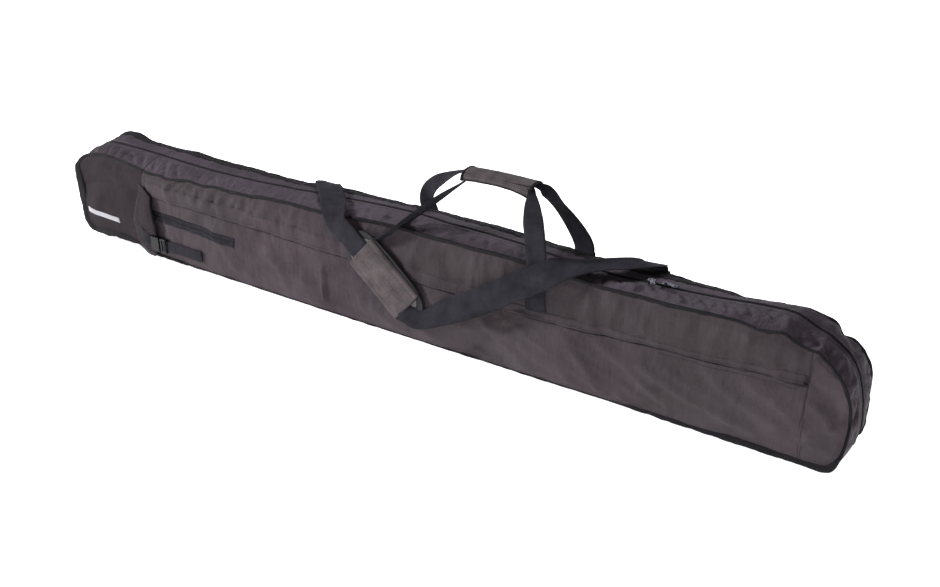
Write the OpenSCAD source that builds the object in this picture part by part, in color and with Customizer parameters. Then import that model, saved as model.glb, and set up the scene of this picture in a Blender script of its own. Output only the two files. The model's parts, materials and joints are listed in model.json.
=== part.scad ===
// Padded-strap ski bag, lying on its base. Millimetres, +Z up, +X along the bag,
// -Y towards the face that carries the pocket and the shoulder pad.
// Origin: centre of the flat base.

/* [Body] */
// Length of the bag with the end pleat folded in
bag_l = 1750; // [1730:5:1800]
// Width of the bag between its two bound edges
bag_w = 120; // [120:1:122]
// Height of the bag body
bag_h = 220; // [220:1:222]
// Radius of the upper corner at the tip end
tip_r = 105; // [90:1:110]
// Thickness of the coated fabric with its lining
skin = 2; // [2:0.1:2.2]
// Width of the woven edge binding
bind = 7; // [6:0.5:7]

/* [End section] */
// X of the pleat where the end section meets the bag
split_x = -660; // [-662:1:-658]
// Length that the folded pleat gives when it is let out
extend = 150; // [100:5:160]

/* [Straps] */
// Width of the shoulder strap webbing
strap_w = 50; // [40:1:50]
// Width of the handle webbing
handle_w = 40; // [30:1:40]
// Thickness of all webbing
web_t = 1.8; // [1.4:0.1:2]
// Length of the shoulder pad
pad_l = 196; // [160:2:200]
// Width of the shoulder pad
pad_w = 92; // [80:2:96]

/* [Sliders] */
// X of the left slider of the main zip
slider_a_x = 512; // [505:1:513]
// X of the right slider of the main zip
slider_b_x = 538; // [536:1:560]

/* [Hidden] */
$fn = 48;
eps = 0.01;
hl = bag_l/2;
hw = bag_w/2;
H = bag_h;
pz_x = 805;               // right end of the long pocket zip
pz_z = 150;               // its height there
pz_a = -0.3;              // its rise towards the other end, degrees
pad_a = 40.8;             // slope of the pad on the front face, degrees
pad_c = [3, -78, 124.5];  // centre of the webbing under the pad cover
fold_y = 62; fold_z = 223; // line the shoulder strap folds back over

// ---- helpers -------------------------------------------------------------
function arc(cx, cz, r, a0, a1, n) =
  [for (i = [0:n]) [cx + r*cos(a0 + (a1 - a0)*i/n), cz + r*sin(a0 + (a1 - a0)*i/n)]];

// Side outline of the bag, set in by d
function outline(d) = concat(
  arc(hl - tip_r, H - tip_r, tip_r - d, 0, 90, 15),
  arc(-hl + 30, H - 30, 30 - d, 90, 180, 6),
  arc(-hl + 20, 20, 20 - d, 180, 270, 5),
  arc(hl - 12, 12, 12 - d, 270, 360, 4));

module slab(d, y0, y1)
  translate([0, y1, 0]) rotate([90, 0, 0]) linear_extrude(y1 - y0) polygon(outline(d));

module ring(d0, d1, y0, y1)
  difference() { slab(d0, y0, y1); slab(d1, y0 - 1, y1 + 1); }

module box(a, b) translate(a) cube([b[0] - a[0], b[1] - a[1], b[2] - a[2]]);

// Keeps what lies in the bag proper, right of the pleat
module main_side(z0 = -5) intersection() {
  children();
  box([split_x, -100, z0], [hl + 20, 100, H + 20]);
}
// Keeps what lies in the end section
module end_side() intersection() {
  children();
  box([-hl - 20, -100, -5], [split_x - 0.3, 100, H + 20]);
}

function unit(v) = v/norm(v);
// Frame of a ribbon at station i: tangent, then width and thickness directions
function tang(p, i) = unit(p[min(i + 1, len(p) - 1)] - p[max(i - 1, 0)]);
function thick_dir(t, w) = unit(cross(t, w));
function rib_pts(p, w, wd, th) = [for (i = [0:len(p) - 1])
  let(t = tang(p, i), n = thick_dir(t, w[i]), u = cross(n, t)*(is_list(wd) ? wd[i] : wd)/2)
  each [p[i] + u + n*th/2, p[i] - u + n*th/2, p[i] - u - n*th/2, p[i] + u - n*th/2]];
// A flat woven strap through the points p, with its width along w
module ribbon(p, w, wd, th) {
  n = len(p);
  polyhedron(points = rib_pts(p, w, wd, th),
    faces = concat([[0, 1, 2, 3]], [[4*n - 1, 4*n - 2, 4*n - 3, 4*n - 4]],
      [for (i = [0:n - 2]) for (k = [0:3]) each [
        [4*i + k, 4*(i + 1) + (k + 1)%4, 4*i + (k + 1)%4],
        [4*i + k, 4*(i + 1) + k, 4*(i + 1) + (k + 1)%4]]]),
    convexity = 6);
}

// Puts a shape drawn for the pocket zip on its sloping line
module on_pocket_line() translate([pz_x, 0, pz_z]) rotate([0, pz_a, 0]) children();

// ---- body ----------------------------------------------------------------
module front_skin() main_side() slab(bind, -hw, -hw + skin);

module upper_panel() color([0.33, 0.30, 0.31]) difference() {
  front_skin();
  box([pz_x + 5, -100, -5], [hl + 5, 100, H + 5]);
  on_pocket_line() box([-1500, -hw - 1, -200], [-3, -hw + skin + 1, 9]);
  on_pocket_line() box([-3 - eps, -hw - 1, -200], [20, -hw + skin + 1, -9]);
}

module pocket_panel() color([0.30, 0.275, 0.285]) difference() {
  intersection() {
    front_skin();
    on_pocket_line() box([-1500, -hw - 1, -200], [20, -hw + skin + 1, -9]);
  }
  box([pz_x + 5, -100, -5], [hl + 5, 100, H + 5]);
  box([-654, -hw - 1, 88], [-398, -hw + skin + 1, 112]);
}

module tip_panel() color([0.31, 0.28, 0.29]) intersection() {
  front_skin();
  box([pz_x + 5, -100, -5], [hl + 5, 100, H + 5]);
}

module back_panel() color([0.30, 0.275, 0.285])
  main_side() slab(bind, hw - skin, hw);

module bottom_gusset() color([0.27, 0.25, 0.26]) intersection() {
  main_side() ring(0, skin, -hw + 4, hw - 4);
  box([-hl, -100, -5], [hl + 5, 100, 50]);
}

module front_gusset() color([0.34, 0.32, 0.35])
  main_side(50) ring(0, skin, -hw + 4, -12);

module back_gusset() color([0.34, 0.32, 0.35])
  main_side(50) ring(0, skin, 12, hw - 4);

module front_binding() color([0.10, 0.10, 0.11])
  main_side() ring(0, bind, -hw, -hw + 4);

module back_binding() color([0.10, 0.10, 0.11])
  main_side() ring(0, bind, hw - 4, hw);

// One side of the closing zip: tape and coil, side = -1 front, 1 back
module zip_half(side) {
  a = side < 0 ? -12 : 3;
  ring(0.2, 1.6, a, a + 9);
  b = side < 0 ? -3 : 0.6;
  ring(-1, 2, b, b + 2.4);
}
module zip_tape_front() color([0.12, 0.12, 0.13]) main_side(50) zip_half(-1);
module zip_tape_back() color([0.12, 0.12, 0.13]) main_side(50) zip_half(1);

// ---- long pocket -----------------------------------------------------------
module pocket_zip() color([0.13, 0.12, 0.13]) on_pocket_line() {
  for (s = [-1, 1]) mirror([0, 0, s < 0 ? 1 : 0]) {
    box([-1452, -hw + skin, 3], [-5, -hw + skin + 1, 14]);
    box([-1452, -hw + 1, 0.6], [-5, -hw + 3.4, 3]);
  }
}
module pocket_flap() color([0.31, 0.28, 0.29]) on_pocket_line() {
  box([-1440, -hw - 4.6, -8], [-8, -hw - 3.2, 12]);
  box([-1440, -hw - 3.2, 10], [-8, -hw, 12]);
}
module tray(x0, x1, z0, z1, y0, y1, t) difference() {
  box([x0, y0, z0], [x1, y1, z1]);
  box([x0 + t, y0 - 1, z0 + t], [x1 - t, y1 - t, z1 - t]);
}
module pocket_bag() color([0.2, 0.19, 0.2])
  tray(-645, 802, 8, 178, -hw + skin + 1.1, -47, 1);
module accessory_zip() color([0.11, 0.11, 0.12]) {
  for (s = [-1, 1]) translate([0, 0, 100]) mirror([0, 0, s < 0 ? 1 : 0]) {
    box([-654, -hw + 0.4, 3], [-398, -hw + 1.6, 12]);
    box([-654, -hw - 1, 0.6], [-398, -hw + 1.8, 3]);
  }
}
module accessory_bag() color([0.2, 0.19, 0.2])
  difference() {
    box([-643, -hw + skin + 1.1, 22], [-400, -51, 116]);
    box([-642.2, -hw + skin, 22.8], [-400.8, -51.8, 115.2]);
  }

// ---- sliders ---------------------------------------------------------------
// Slider drawn for a zip that runs along X and faces +Z, coil top at z = top;
// its two ears are turned by yaw
module slider(top, yaw = 0) {
  box([-6.5, -5, top + 0.3], [6.5, 5, top + 1.9]);
  for (s = [-1, 1]) box([-6.5, s < 0 ? -5 : 3.6, top - 0.8], [6.5, s < 0 ? -3.6 : 5, top + 0.4]);
  box([-1.5, -0.35, top - 3.5], [1.5, 0.35, top + 0.4]);
  box([-5.5, -4.4, top - 4.8], [5.5, 4.4, top - 3.4]);
  rotate([0, 0, yaw]) for (s = [-1, 1])
    box([-1.6, s < 0 ? -3.4 : 1.8, top + 1.8], [1.6, s < 0 ? -1.8 : 3.4, top + 4.6]);
}
// Pull tab hung between the two ears of a slider, lying along +X
module pull(top, len, wide) {
  h = top + 3.4;
  translate([0, 0, h]) rotate([90, 0, 0]) cylinder(r = 0.9, h = 3.2, center = true);
  box([0, -1.4, h - 0.9], [5, 1.4, h + 0.9]);
  difference() {
    union() {
      box([4.5, -wide/2, h - 0.9], [len - wide/2, wide/2, h + 0.9]);
      translate([len - wide/2, 0, h - 0.9]) cylinder(r = wide/2, h = 1.8);
    }
    translate([len - wide/2, 0, h - 2]) cylinder(r = wide/2 - 1.8, h = 4);
  }
}
yaw_a = -60; yaw_b = -20;   // which way the two pulls lie
module main_slider_left() color([0.62, 0.62, 0.65]) translate([slider_a_x, 0, 0]) slider(H + 1, yaw_a);
module main_slider_right() color([0.62, 0.62, 0.65]) translate([slider_b_x, 0, 0]) slider(H + 1, yaw_b);
module main_pull_left() color([0.66, 0.66, 0.69])
  translate([slider_a_x, 0, 0]) rotate([0, 0, yaw_a]) pull(H + 1, 24, 8);
module main_pull_right() color([0.66, 0.66, 0.69])
  translate([slider_b_x, 0, 0]) rotate([0, 0, yaw_b]) pull(H + 1, 24, 8);

// The same slider on the front face: its +Z becomes -Y
module facing_front() rotate([90, 0, 0]) children();
// A low slider, for the zip under the flap
module low_slider(top) {
  box([-6.5, -5, top + 0.3], [6.5, 5, top + 1.5]);
  for (s = [-1, 1]) box([-6.5, s < 0 ? -5 : 3.4, top - 0.6], [6.5, s < 0 ? -3.4 : 5, top + 0.4]);
  box([-1.5, -0.35, top - 3], [1.5, 0.35, top + 0.4]);
  box([-5.5, -4.4, top - 4.2], [5.5, 4.4, top - 2.8]);
}
module pocket_slider() color([0.16, 0.16, 0.17])
  on_pocket_line() translate([-20, -hw + 1, 0]) facing_front() low_slider(0);
module pocket_pull() color([0.16, 0.16, 0.17])
  on_pocket_line() box([-42, -hw - 1.9, -2.5], [-22, -hw - 0.5, 2.5]);
module accessory_slider() color([0.16, 0.16, 0.17])
  translate([-635, -hw, 100]) facing_front() slider(1);
module accessory_pull() color([0.16, 0.16, 0.17])
  translate([-635, -hw, 100]) facing_front() pull(1, 22, 6);

// ---- end section -------------------------------------------------------------
module end_front_panel() color([0.28, 0.25, 0.27]) end_side() slab(bind, -hw, -hw + skin);
module end_back_panel() color([0.28, 0.25, 0.27]) end_side() slab(bind, hw - skin, hw);
module end_top() intersection() {
  end_side() children();
  box([-hl + 30, -100, H - 20], [split_x, 100, H + 20]);
}
module end_cap() color([0.27, 0.25, 0.26]) difference() {
  end_side() ring(0, skin, -hw + 4, hw - 4);
  box([-hl + 30, -100, H - 20], [split_x, 100, H + 20]);
}
module end_gusset_front() color([0.34, 0.32, 0.35]) end_top() ring(0, skin, -hw + 4, -12);
module end_gusset_back() color([0.34, 0.32, 0.35]) end_top() ring(0, skin, 12, hw - 4);
module end_binding_front() color([0.10, 0.10, 0.11]) end_side() ring(0, bind, -hw, -hw + 4);
module end_binding_back() color([0.10, 0.10, 0.11]) end_side() ring(0, bind, hw - 4, hw);
module end_zip_tapes() color([0.12, 0.12, 0.13]) end_top() { zip_half(-1); zip_half(1); }

module pleat_fold() color([0.29, 0.26, 0.28]) {
  translate([0, -hw - 8, 0]) rotate([90, 0, 0]) linear_extrude(1.5)
    polygon([[-704, 3], [-630, 3], [-634, 64], [-648, 117], [-668, 171], [-704, 171]]);
  box([-704, -hw - 8, 3], [-697, -hw, 171]);
}
module reflective_strip() color([0.75, 0.75, 0.77])
  box([-858, -hw - 0.6, 64], [-757, -hw, 76]);

// Sleeve that the let-out pleat turns into, between bag and end section
module extension_sleeve() color([0.24, 0.22, 0.23]) difference() {
  union() {
    box([-830, -hw + 6, 4], [-656, hw - 6, H - 5]);
    box([-659, -hw + 4, skin], [-656, hw - 4, H - skin]);
  }
  box([-831, -hw + 7.2, 5.2], [-655, hw - 7.2, H - 6.2]);
}

// ---- cinch strap and its buckle ---------------------------------------------
bz = 44;   // height of the strap's middle
module cinch_webbing_end() color([0.15, 0.15, 0.16])
  box([-668, -hw - 11.2, bz - 12.5], [-641, -hw - 9.5, bz + 12.5]);
module cinch_webbing() color([0.15, 0.15, 0.16])
  ribbon([[-595.9, -74.4, bz], [-589, -73.6, bz], [-578, -66.5, bz], [-566, -61.6, bz],
          [-556, -60.9, bz], [-498, -60.9, bz]],
         [for (i = [0:5]) [0, 0, 1]], 25, web_t);
module buckle_female() color([0.05, 0.05, 0.06]) difference() {
  box([-641, -hw - 19.5, bz - 16.5], [-617, -hw - 9.5, bz + 16.5]);
  box([-634, -hw - 17.7, bz - 13.6], [-616, -hw - 11.3, bz + 13.6]);
  for (s = [-1, 1]) box([-631, -hw - 17, s < 0 ? bz - 17 : bz + 13], [-623, -hw - 12, s < 0 ? bz - 13 : bz + 17]);
}
module buckle_male() color([0.05, 0.05, 0.06]) {
  difference() {
    box([-612, -hw - 19, bz - 16.5], [-596, -hw - 10.5, bz + 16.5]);
    box([-608, -hw - 20, bz - 13], [-604, -hw - 9, bz + 13]);
    box([-600, -hw - 20, bz - 13], [-597.9, -hw - 9, bz + 13]);
  }
  box([-632, -hw - 16.6, bz - 2.6], [-612, -hw - 12.4, bz + 2.6]);
}
// Sprung arm of the male half, on the upper side
module arm() {
  box([-632, -hw - 16.6, bz + 9.4], [-612.3, -hw - 12.4, bz + 12.2]);
  translate([-628, -hw - 12.4, bz + 11.6]) rotate([90, 0, 0]) cylinder(r = 1.5, h = 4.2);
}
module buckle_arm_upper() color([0.06, 0.06, 0.07]) arm();
module buckle_arm_lower() color([0.06, 0.06, 0.07])
  translate([0, 0, 2*bz]) mirror([0, 0, 1]) arm();

// ---- handles -------------------------------------------------------------------
leg_f = [0, 326];      // centres of the front legs
leg_b = [15, 355];     // centres of the back legs
module handle_legs_front() color([0.20, 0.20, 0.22])
  for (x = leg_f) box([x - handle_w/2, -hw - web_t, 161], [x + handle_w/2, -hw, H - 7]);
module handle_legs_back() color([0.20, 0.20, 0.22])
  for (x = leg_b) box([x - handle_w/2, hw, 130], [x + handle_w/2, hw + web_t, H - 7]);
// One carrying loop: from a leg up into the wrap, where it is folded narrow, and down to
// the other leg
module handle_loop(xl, xr, s, yw) {
  yb = s*(hw + web_t/2 + 0.3);
  zw = 334.5;
  e = s < 0 ? [0.8, 0.5, 0] : [-0.1, 0.9, 0.1];   // width direction where it turns into the wrap
  m = [[-1, 0, 0], [0, 1, 0], [0, 0, 1]];
  ribbon([[xr, yb, H - 6.95], [xr, yb, 226], [xr - 14, yb - s, 246], [xr - 26, yb - s*8, 276],
          [xr - 34, yb + (yw - yb)*0.4, 306], [300, yb + (yw - yb)*0.85, zw - 6], [284, yw, zw], [205, yw, zw], [126, yw, zw],
          [110, yb + (yw - yb)*0.85, zw - 6], [xl + 34, yb + (yw - yb)*0.4, 306],
          [xl + 26, yb - s*8, 276], [xl + 14, yb - s, 246], [xl, yb, 226], [xl, yb, H - 6.95]],
         [[1, 0, 0], [1, 0, 0], [1, 0.1, 0.1], [0.95, 0.3, 0.1], [0.8, 0.5, 0.1], e, [0, 1, 0], [0, 1, 0], [0, 1, 0],
          m*e, [-0.8, 0.5, 0.1], [-0.95, 0.3, 0.1], [-1, 0.1, 0.1], [-1, 0, 0], [-1, 0, 0]],
         [40, 40, 40, 36, 28, 20, 18, 18, 18, 20, 28, 36, 40, 40, 40]*handle_w/40, web_t);
}
module handle_loop_front() color([0.20, 0.20, 0.22]) handle_loop(leg_f[0], leg_f[1], -1, 10.5);
module handle_loop_back() color([0.20, 0.20, 0.22]) handle_loop(leg_b[0], leg_b[1], 1, 29.5);
module pill(w, t) polygon(concat(arc(w/2 - t/2, 0, t/2, -90, 90, 8), arc(-w/2 + t/2, 0, t/2, 90, 270, 8)));
module handle_wrap() color([0.35, 0.32, 0.34])
  translate([130, 20, 334.5]) rotate([90, 0, 90]) linear_extrude(150)
    difference() { pill(50, 16); square([43.5, 8], center = true); }

// ---- shoulder strap ----------------------------------------------------------
pad_d = [cos(pad_a), 0, -sin(pad_a)];   // along the pad, downwards
pad_n = [sin(pad_a), 0, cos(pad_a)];    // across it
module shoulder_strap() color([0.19, 0.19, 0.21]) {
  ribbon([[-230, fold_y - 0.5, 224.2], [-230, 50, 228], [-212, 30, 233.5], [-180, 0, 235.5],
          [-146, -34, 234.5], [-120, -62, 228], [-106, -74, 213], [-90, -77.5, 200],
          pad_c - 112*pad_d, pad_c - 60*pad_d, pad_c, pad_c + 60*pad_d, pad_c + 112*pad_d, pad_c + 140*pad_d],
         [[1, 0, 0], [1, 0, 0], [1, 0.4, 0], [1, 1, 0], [1, 0.9, 0.1], [1, 0.45, 0.5], [1, 0.1, 0.8], [0.8, 0, 0.9],
          pad_n, pad_n, pad_n, pad_n, pad_n, pad_n],
         strap_w, web_t);
  ribbon([[108, -79.2, 30], [122, -80.2, 40.5], [138, -83.5, 50], [156, -86, 62], [180, -88, 83], [210, -87, 107],
          [248, -86, 136], [284, -84, 164], [318, -81, 192], [346, -77, 214], [368, -70, 230], [392, -52, 238],
          [420, -24, 239], [446, 4, 237.5], [470, 30, 234.5], [488, 50, 228], [488, fold_y - 0.5, 224.2]],
         [[-0.6, 0, 0.8], [-0.55, 0.1, 0.8], [-0.5, 0.25, 0.8], [-0.45, 0.35, 0.8], [-0.4, 0.4, 0.8], [-0.4, 0.35, 0.85],
          [-0.45, 0.25, 0.85], [-0.5, 0.2, 0.8], [-0.5, 0.25, 0.8], [-0.5, 0.35, 0.75], [-0.55, 0.55, 0.55], [-0.7, 0.7, 0.2],
          [-0.75, 0.7, 0], [-0.8, 0.7, 0], [-0.9, 0.5, 0], [-1, 0, 0], [-1, 0, 0]],
         strap_w, web_t);
}

// Draws in the pad's own plane: x along the webbing, y across, z outwards
module on_pad() translate(pad_c) multmatrix([
  [pad_d[0], pad_n[0], 0, 0], [0, 0, -1, 0], [pad_d[2], pad_n[2], 0, 0], [0, 0, 0, 1]]) children();
module pad_shape(l, w, r) union() {
  square([l - 2*r, w], center = true);
  square([l, w - 2*r], center = true);
  for (a = [-1, 1]) for (b = [-1, 1]) translate([a*(l/2 - r), b*(w/2 - r)]) circle(r = r);
}
module pad_base() color([0.13, 0.13, 0.14])
  translate(pad_c) rotate([0, pad_a, 0]) rotate([90, 0, 0])
    translate([0, 0, -8.2]) linear_extrude(6.8) pad_shape(pad_l, pad_w, 30);
module pad_cover() color([0.37, 0.34, 0.35])
  translate(pad_c) rotate([0, pad_a, 0]) rotate([90, 0, 0]) difference() {
    translate([-66, -39, -1.4]) cube([132, 78, 5.2]);
    translate([-67, -strap_w/2 - 1.5, -2]) cube([134, strap_w + 3, 3.6]);
  }

// Short tails of the strap behind the bag, looped through the snap hooks
module strap_tail(x) ribbon([[x, 64, 221.5], [x, 67.5, 214], [x, 70.5, 204], [x, 72.2, 193], [x, 72.6, 186.5], [x, 74.2, 183],
    [x, 77, 181.8], [x, 79.8, 183], [x, 81.6, 186.5], [x, 81.2, 193], [x, 77.5, 203], [x, 74.6, 208]],
    [for (i = [0:11]) [1, 0, 0]], strap_w, web_t);
tail_x = [-230, 488];
module strap_end_left() color([0.19, 0.19, 0.21]) strap_tail(tail_x[0]);
module strap_end_right() color([0.19, 0.19, 0.21]) strap_tail(tail_x[1]);

// Hook ring, its neck and the bar eye that holds the webbing
hk = [77, 149];    // y and z of the ring's centre
module snap_hook(x) translate([x, hk[0], hk[1]]) {
  rotate([90, 0, 90]) rotate([0, 0, 48]) rotate_extrude(angle = 274) translate([12, 0]) circle(r = 3);
  for (s = [-1, 1]) translate([s < 0 ? -4.2 : 2.2, 0, 0]) rotate([90, 0, 90])
    translate([8.6, 9.6]) cylinder(r = 2.6, h = 2);
  translate([0, 0, 11]) cylinder(r = 4.5, h = 14);
  difference() {
    box([-31, -3, 24], [31, 3, 41]);
    box([-26, -4, 27.5], [26, 4, 37]);
  }
}
module snap_hook_left() color([0.06, 0.06, 0.07]) snap_hook(tail_x[0]);
module snap_hook_right() color([0.06, 0.06, 0.07]) snap_hook(tail_x[1]);
// Sprung gate that closes the ring's mouth
module hook_gate(x) translate([x, hk[0], hk[1]]) rotate([90, 0, 90]) {
  translate([10.9, 8.2, -1.9]) cylinder(r = 1.6, h = 3.8);
  translate([9.6, -4.4, -1.9]) cube([2.6, 12.6, 3.8]);
}
module hook_gate_left() color([0.10, 0.10, 0.11]) hook_gate(tail_x[0]);
module hook_gate_right() color([0.10, 0.10, 0.11]) hook_gate(tail_x[1]);

ring_y = 66; ring_z = 120; ring_lean = 21;
module d_ring(x) translate([x, ring_y, ring_z]) rotate([-ring_lean, 0, 0]) {
  rotate([90, 0, 0]) rotate_extrude(angle = 180) translate([27, 0]) circle(r = 2.4);
  translate([-27, 0, 0]) rotate([0, 90, 0]) cylinder(r = 2.4, h = 54);
}
module d_ring_left() color([0.07, 0.07, 0.08]) d_ring(tail_x[0]);
module d_ring_right() color([0.07, 0.07, 0.08]) d_ring(tail_x[1]);
module ring_tabs() color([0.19, 0.19, 0.21]) for (x = tail_x) difference() {
  union() {
    box([x - 22, hw, 62], [x + 22, hw + 2.4, 114]);
    box([x - 22, hw, 108], [x + 22, ring_y, 117]);
    translate([x - 22, ring_y, ring_z]) rotate([0, 90, 0]) cylinder(r = 4.6, h = 44);
  }
  translate([x - 23, ring_y, ring_z]) rotate([0, 90, 0]) cylinder(r = 2.7, h = 46);
}

upper_panel();
pocket_panel();
tip_panel();
back_panel();
bottom_gusset();
front_gusset();
back_gusset();
front_binding();
back_binding();
zip_tape_front();
zip_tape_back();
pocket_zip();
pocket_flap();
pocket_bag();
accessory_zip();
accessory_bag();
extension_sleeve();
handle_legs_front();
handle_legs_back();
handle_loop_front();
handle_loop_back();
cinch_webbing();
buckle_male();
strap_end_left();
strap_end_right();
ring_tabs();
snap_hook_left();
snap_hook_right();
hook_gate_left();
hook_gate_right();
d_ring_left();
d_ring_right();
main_slider_left();
main_pull_left();
main_slider_right();
main_pull_right();
pocket_slider();
pocket_pull();
accessory_slider();
accessory_pull();
end_front_panel();
end_back_panel();
end_cap();
end_gusset_front();
end_gusset_back();
end_binding_front();
end_binding_back();
end_zip_tapes();
pleat_fold();
reflective_strip();
cinch_webbing_end();
buckle_female();
buckle_arm_upper();
buckle_arm_lower();
shoulder_strap();
pad_base();
pad_cover();
handle_wrap();
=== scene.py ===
import json
import math
import bpy
import numpy as np
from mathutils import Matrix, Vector, noise


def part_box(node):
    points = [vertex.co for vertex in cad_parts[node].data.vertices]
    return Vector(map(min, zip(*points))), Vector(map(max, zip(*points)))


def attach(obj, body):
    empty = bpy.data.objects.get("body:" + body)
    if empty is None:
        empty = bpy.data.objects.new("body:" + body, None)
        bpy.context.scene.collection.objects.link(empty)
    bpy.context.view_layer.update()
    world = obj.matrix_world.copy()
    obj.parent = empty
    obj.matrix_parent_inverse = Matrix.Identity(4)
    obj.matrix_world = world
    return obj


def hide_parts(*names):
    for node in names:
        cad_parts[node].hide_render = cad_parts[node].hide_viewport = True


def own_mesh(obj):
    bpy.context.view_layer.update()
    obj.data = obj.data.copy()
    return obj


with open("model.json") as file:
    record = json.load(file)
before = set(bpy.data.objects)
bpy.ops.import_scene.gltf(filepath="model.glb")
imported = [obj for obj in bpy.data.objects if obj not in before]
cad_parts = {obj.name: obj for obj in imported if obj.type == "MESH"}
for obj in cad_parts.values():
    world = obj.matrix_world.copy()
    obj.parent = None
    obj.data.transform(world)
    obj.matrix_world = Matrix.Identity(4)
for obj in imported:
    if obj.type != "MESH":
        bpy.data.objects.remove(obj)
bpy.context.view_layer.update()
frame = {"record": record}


def mm(node):
    """Lowest and highest corner of a CAD node in millimetres."""
    lo_, hi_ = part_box(node)
    return [round(c * 1000, 1) for c in lo_], [round(c * 1000, 1) for c in hi_]


scene = bpy.context.scene

# ---------------------------------------------------------------- camera and light
cam = bpy.data.objects.new("cam", bpy.data.cameras.new("cam"))
scene.collection.objects.link(cam)
scene.camera = cam
cam.data.sensor_width = 36
cam.data.lens = 42.05
cam.data.clip_end = 60
Fw = Vector((-0.494, 0.750, -0.439)).normalized()
cam.location = (1.170, -1.550, 1.007)
cam.rotation_mode = "QUATERNION"
cam.rotation_quaternion = Fw.to_track_quat("-Z", "Y")
scene.view_settings.view_transform = "Standard"
scene.view_settings.look = "None"

world = bpy.data.worlds.new("world")
scene.world = world
world.use_nodes = True
world.node_tree.nodes["Background"].inputs[0].default_value = (0.95, 0.97, 1.0, 1)
world.node_tree.nodes["Background"].inputs[1].default_value = 0.10


def area(name, loc, target, size, power, color=(1, 1, 1)):
    d = bpy.data.lights.new(name, "AREA")
    d.shape = "RECTANGLE"
    d.size, d.size_y = size
    d.energy = power
    d.color = color
    o = bpy.data.objects.new(name, d)
    scene.collection.objects.link(o)
    o.location = loc
    o.rotation_mode = "QUATERNION"
    o.rotation_quaternion = (Vector(target) - Vector(loc)).to_track_quat("-Z", "Y")
    return o


area("key_back", (-0.6, 1.9, 2.3), (0, 0, 0.1), (2.2, 1.0), 54, (0.96, 0.93, 1))
area("fill_left", (-5.2, -2.6, 3.2), (-0.1, 0, 0.1), (1.1, 1.1), 540, (1, 0.97, 1))
area("fill_front", (2.9, -2.4, 2.0), (0.4, 0, 0.1), (1.0, 0.8), 34, (1, 0.98, 1))

# ---------------------------------------------------------------- materials


def lin(c):
    return tuple(((v / 255) / 12.92 if v / 255 <= 0.04045 else ((v / 255 + 0.055) / 1.055) ** 2.4) for v in c)


class Mat:
    def __init__(self, name, rough=0.8, metallic=0.0, sheen=0.0, coat=0.0, spec=0.5):
        self.m = bpy.data.materials.new(name)
        self.m.use_nodes = True
        self.nt = self.m.node_tree
        self.b = self.nt.nodes["Principled BSDF"]
        self.b.inputs["Roughness"].default_value = rough
        self.b.inputs["Metallic"].default_value = metallic
        self.b.inputs["Sheen Weight"].default_value = sheen
        self.b.inputs["Sheen Roughness"].default_value = 0.5
        self.b.inputs["Coat Weight"].default_value = coat
        self.b.inputs["Specular IOR Level"].default_value = spec
        self.n = None

    def new(self, kind, **props):
        n = self.nt.nodes.new(kind)
        for k, v in props.items():
            setattr(n, k, v)
        return n

    def link(self, a, b):
        self.nt.links.new(a, b)

    def coords(self, which="Object", scale=(1, 1, 1), rot=(0, 0, 0)):
        tc = self.new("ShaderNodeTexCoord")
        mp = self.new("ShaderNodeMapping")
        mp.inputs["Scale"].default_value = scale
        mp.inputs["Rotation"].default_value = rot
        self.link(tc.outputs[which], mp.inputs["Vector"])
        return mp.outputs["Vector"]

    def noise(self, vec, scale, detail=3, rough=0.55):
        n = self.new("ShaderNodeTexNoise")
        n.inputs["Scale"].default_value = scale
        n.inputs["Detail"].default_value = detail
        n.inputs["Roughness"].default_value = rough
        self.link(vec, n.inputs["Vector"])
        return n.outputs["Fac"]

    def wave(self, vec, scale, direction="X", distortion=0.0, profile="SIN"):
        n = self.new("ShaderNodeTexWave", wave_type="BANDS", bands_direction=direction, wave_profile=profile)
        n.inputs["Scale"].default_value = scale
        n.inputs["Distortion"].default_value = distortion
        self.link(vec, n.inputs["Vector"])
        return n.outputs["Fac"]

    def math(self, op, a, b=None):
        n = self.new("ShaderNodeMath", operation=op)
        for i, v in enumerate((a, b)):
            if v is None:
                continue
            if isinstance(v, (int, float)):
                n.inputs[i].default_value = v
            else:
                self.link(v, n.inputs[i])
        return n.outputs[0]

    def bump(self, height, strength, dist):
        n = self.new("ShaderNodeBump")
        n.inputs["Strength"].default_value = strength
        n.inputs["Distance"].default_value = dist
        self.link(height, n.inputs["Height"])
        if self.n is not None:
            self.link(self.n, n.inputs["Normal"])
        self.n = n.outputs["Normal"]
        self.link(self.n, self.b.inputs["Normal"])

    def mix(self, fac, a, b):
        n = self.new("ShaderNodeMix", data_type="RGBA")
        ca, cb = n.inputs[6], n.inputs[7]
        ca.default_value = (*a, 1)
        cb.default_value = (*b, 1)
        self.link(fac, n.inputs[0])
        self.link(n.outputs[2], self.b.inputs["Base Color"])
        return n

    def ramp(self, fac, lo, hi, a=0.0, b=1.0):
        n = self.new("ShaderNodeMapRange")
        n.inputs[1].default_value, n.inputs[2].default_value = lo, hi
        n.inputs[3].default_value, n.inputs[4].default_value = a, b
        self.link(fac, n.inputs[0])
        return n.outputs[0]


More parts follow.
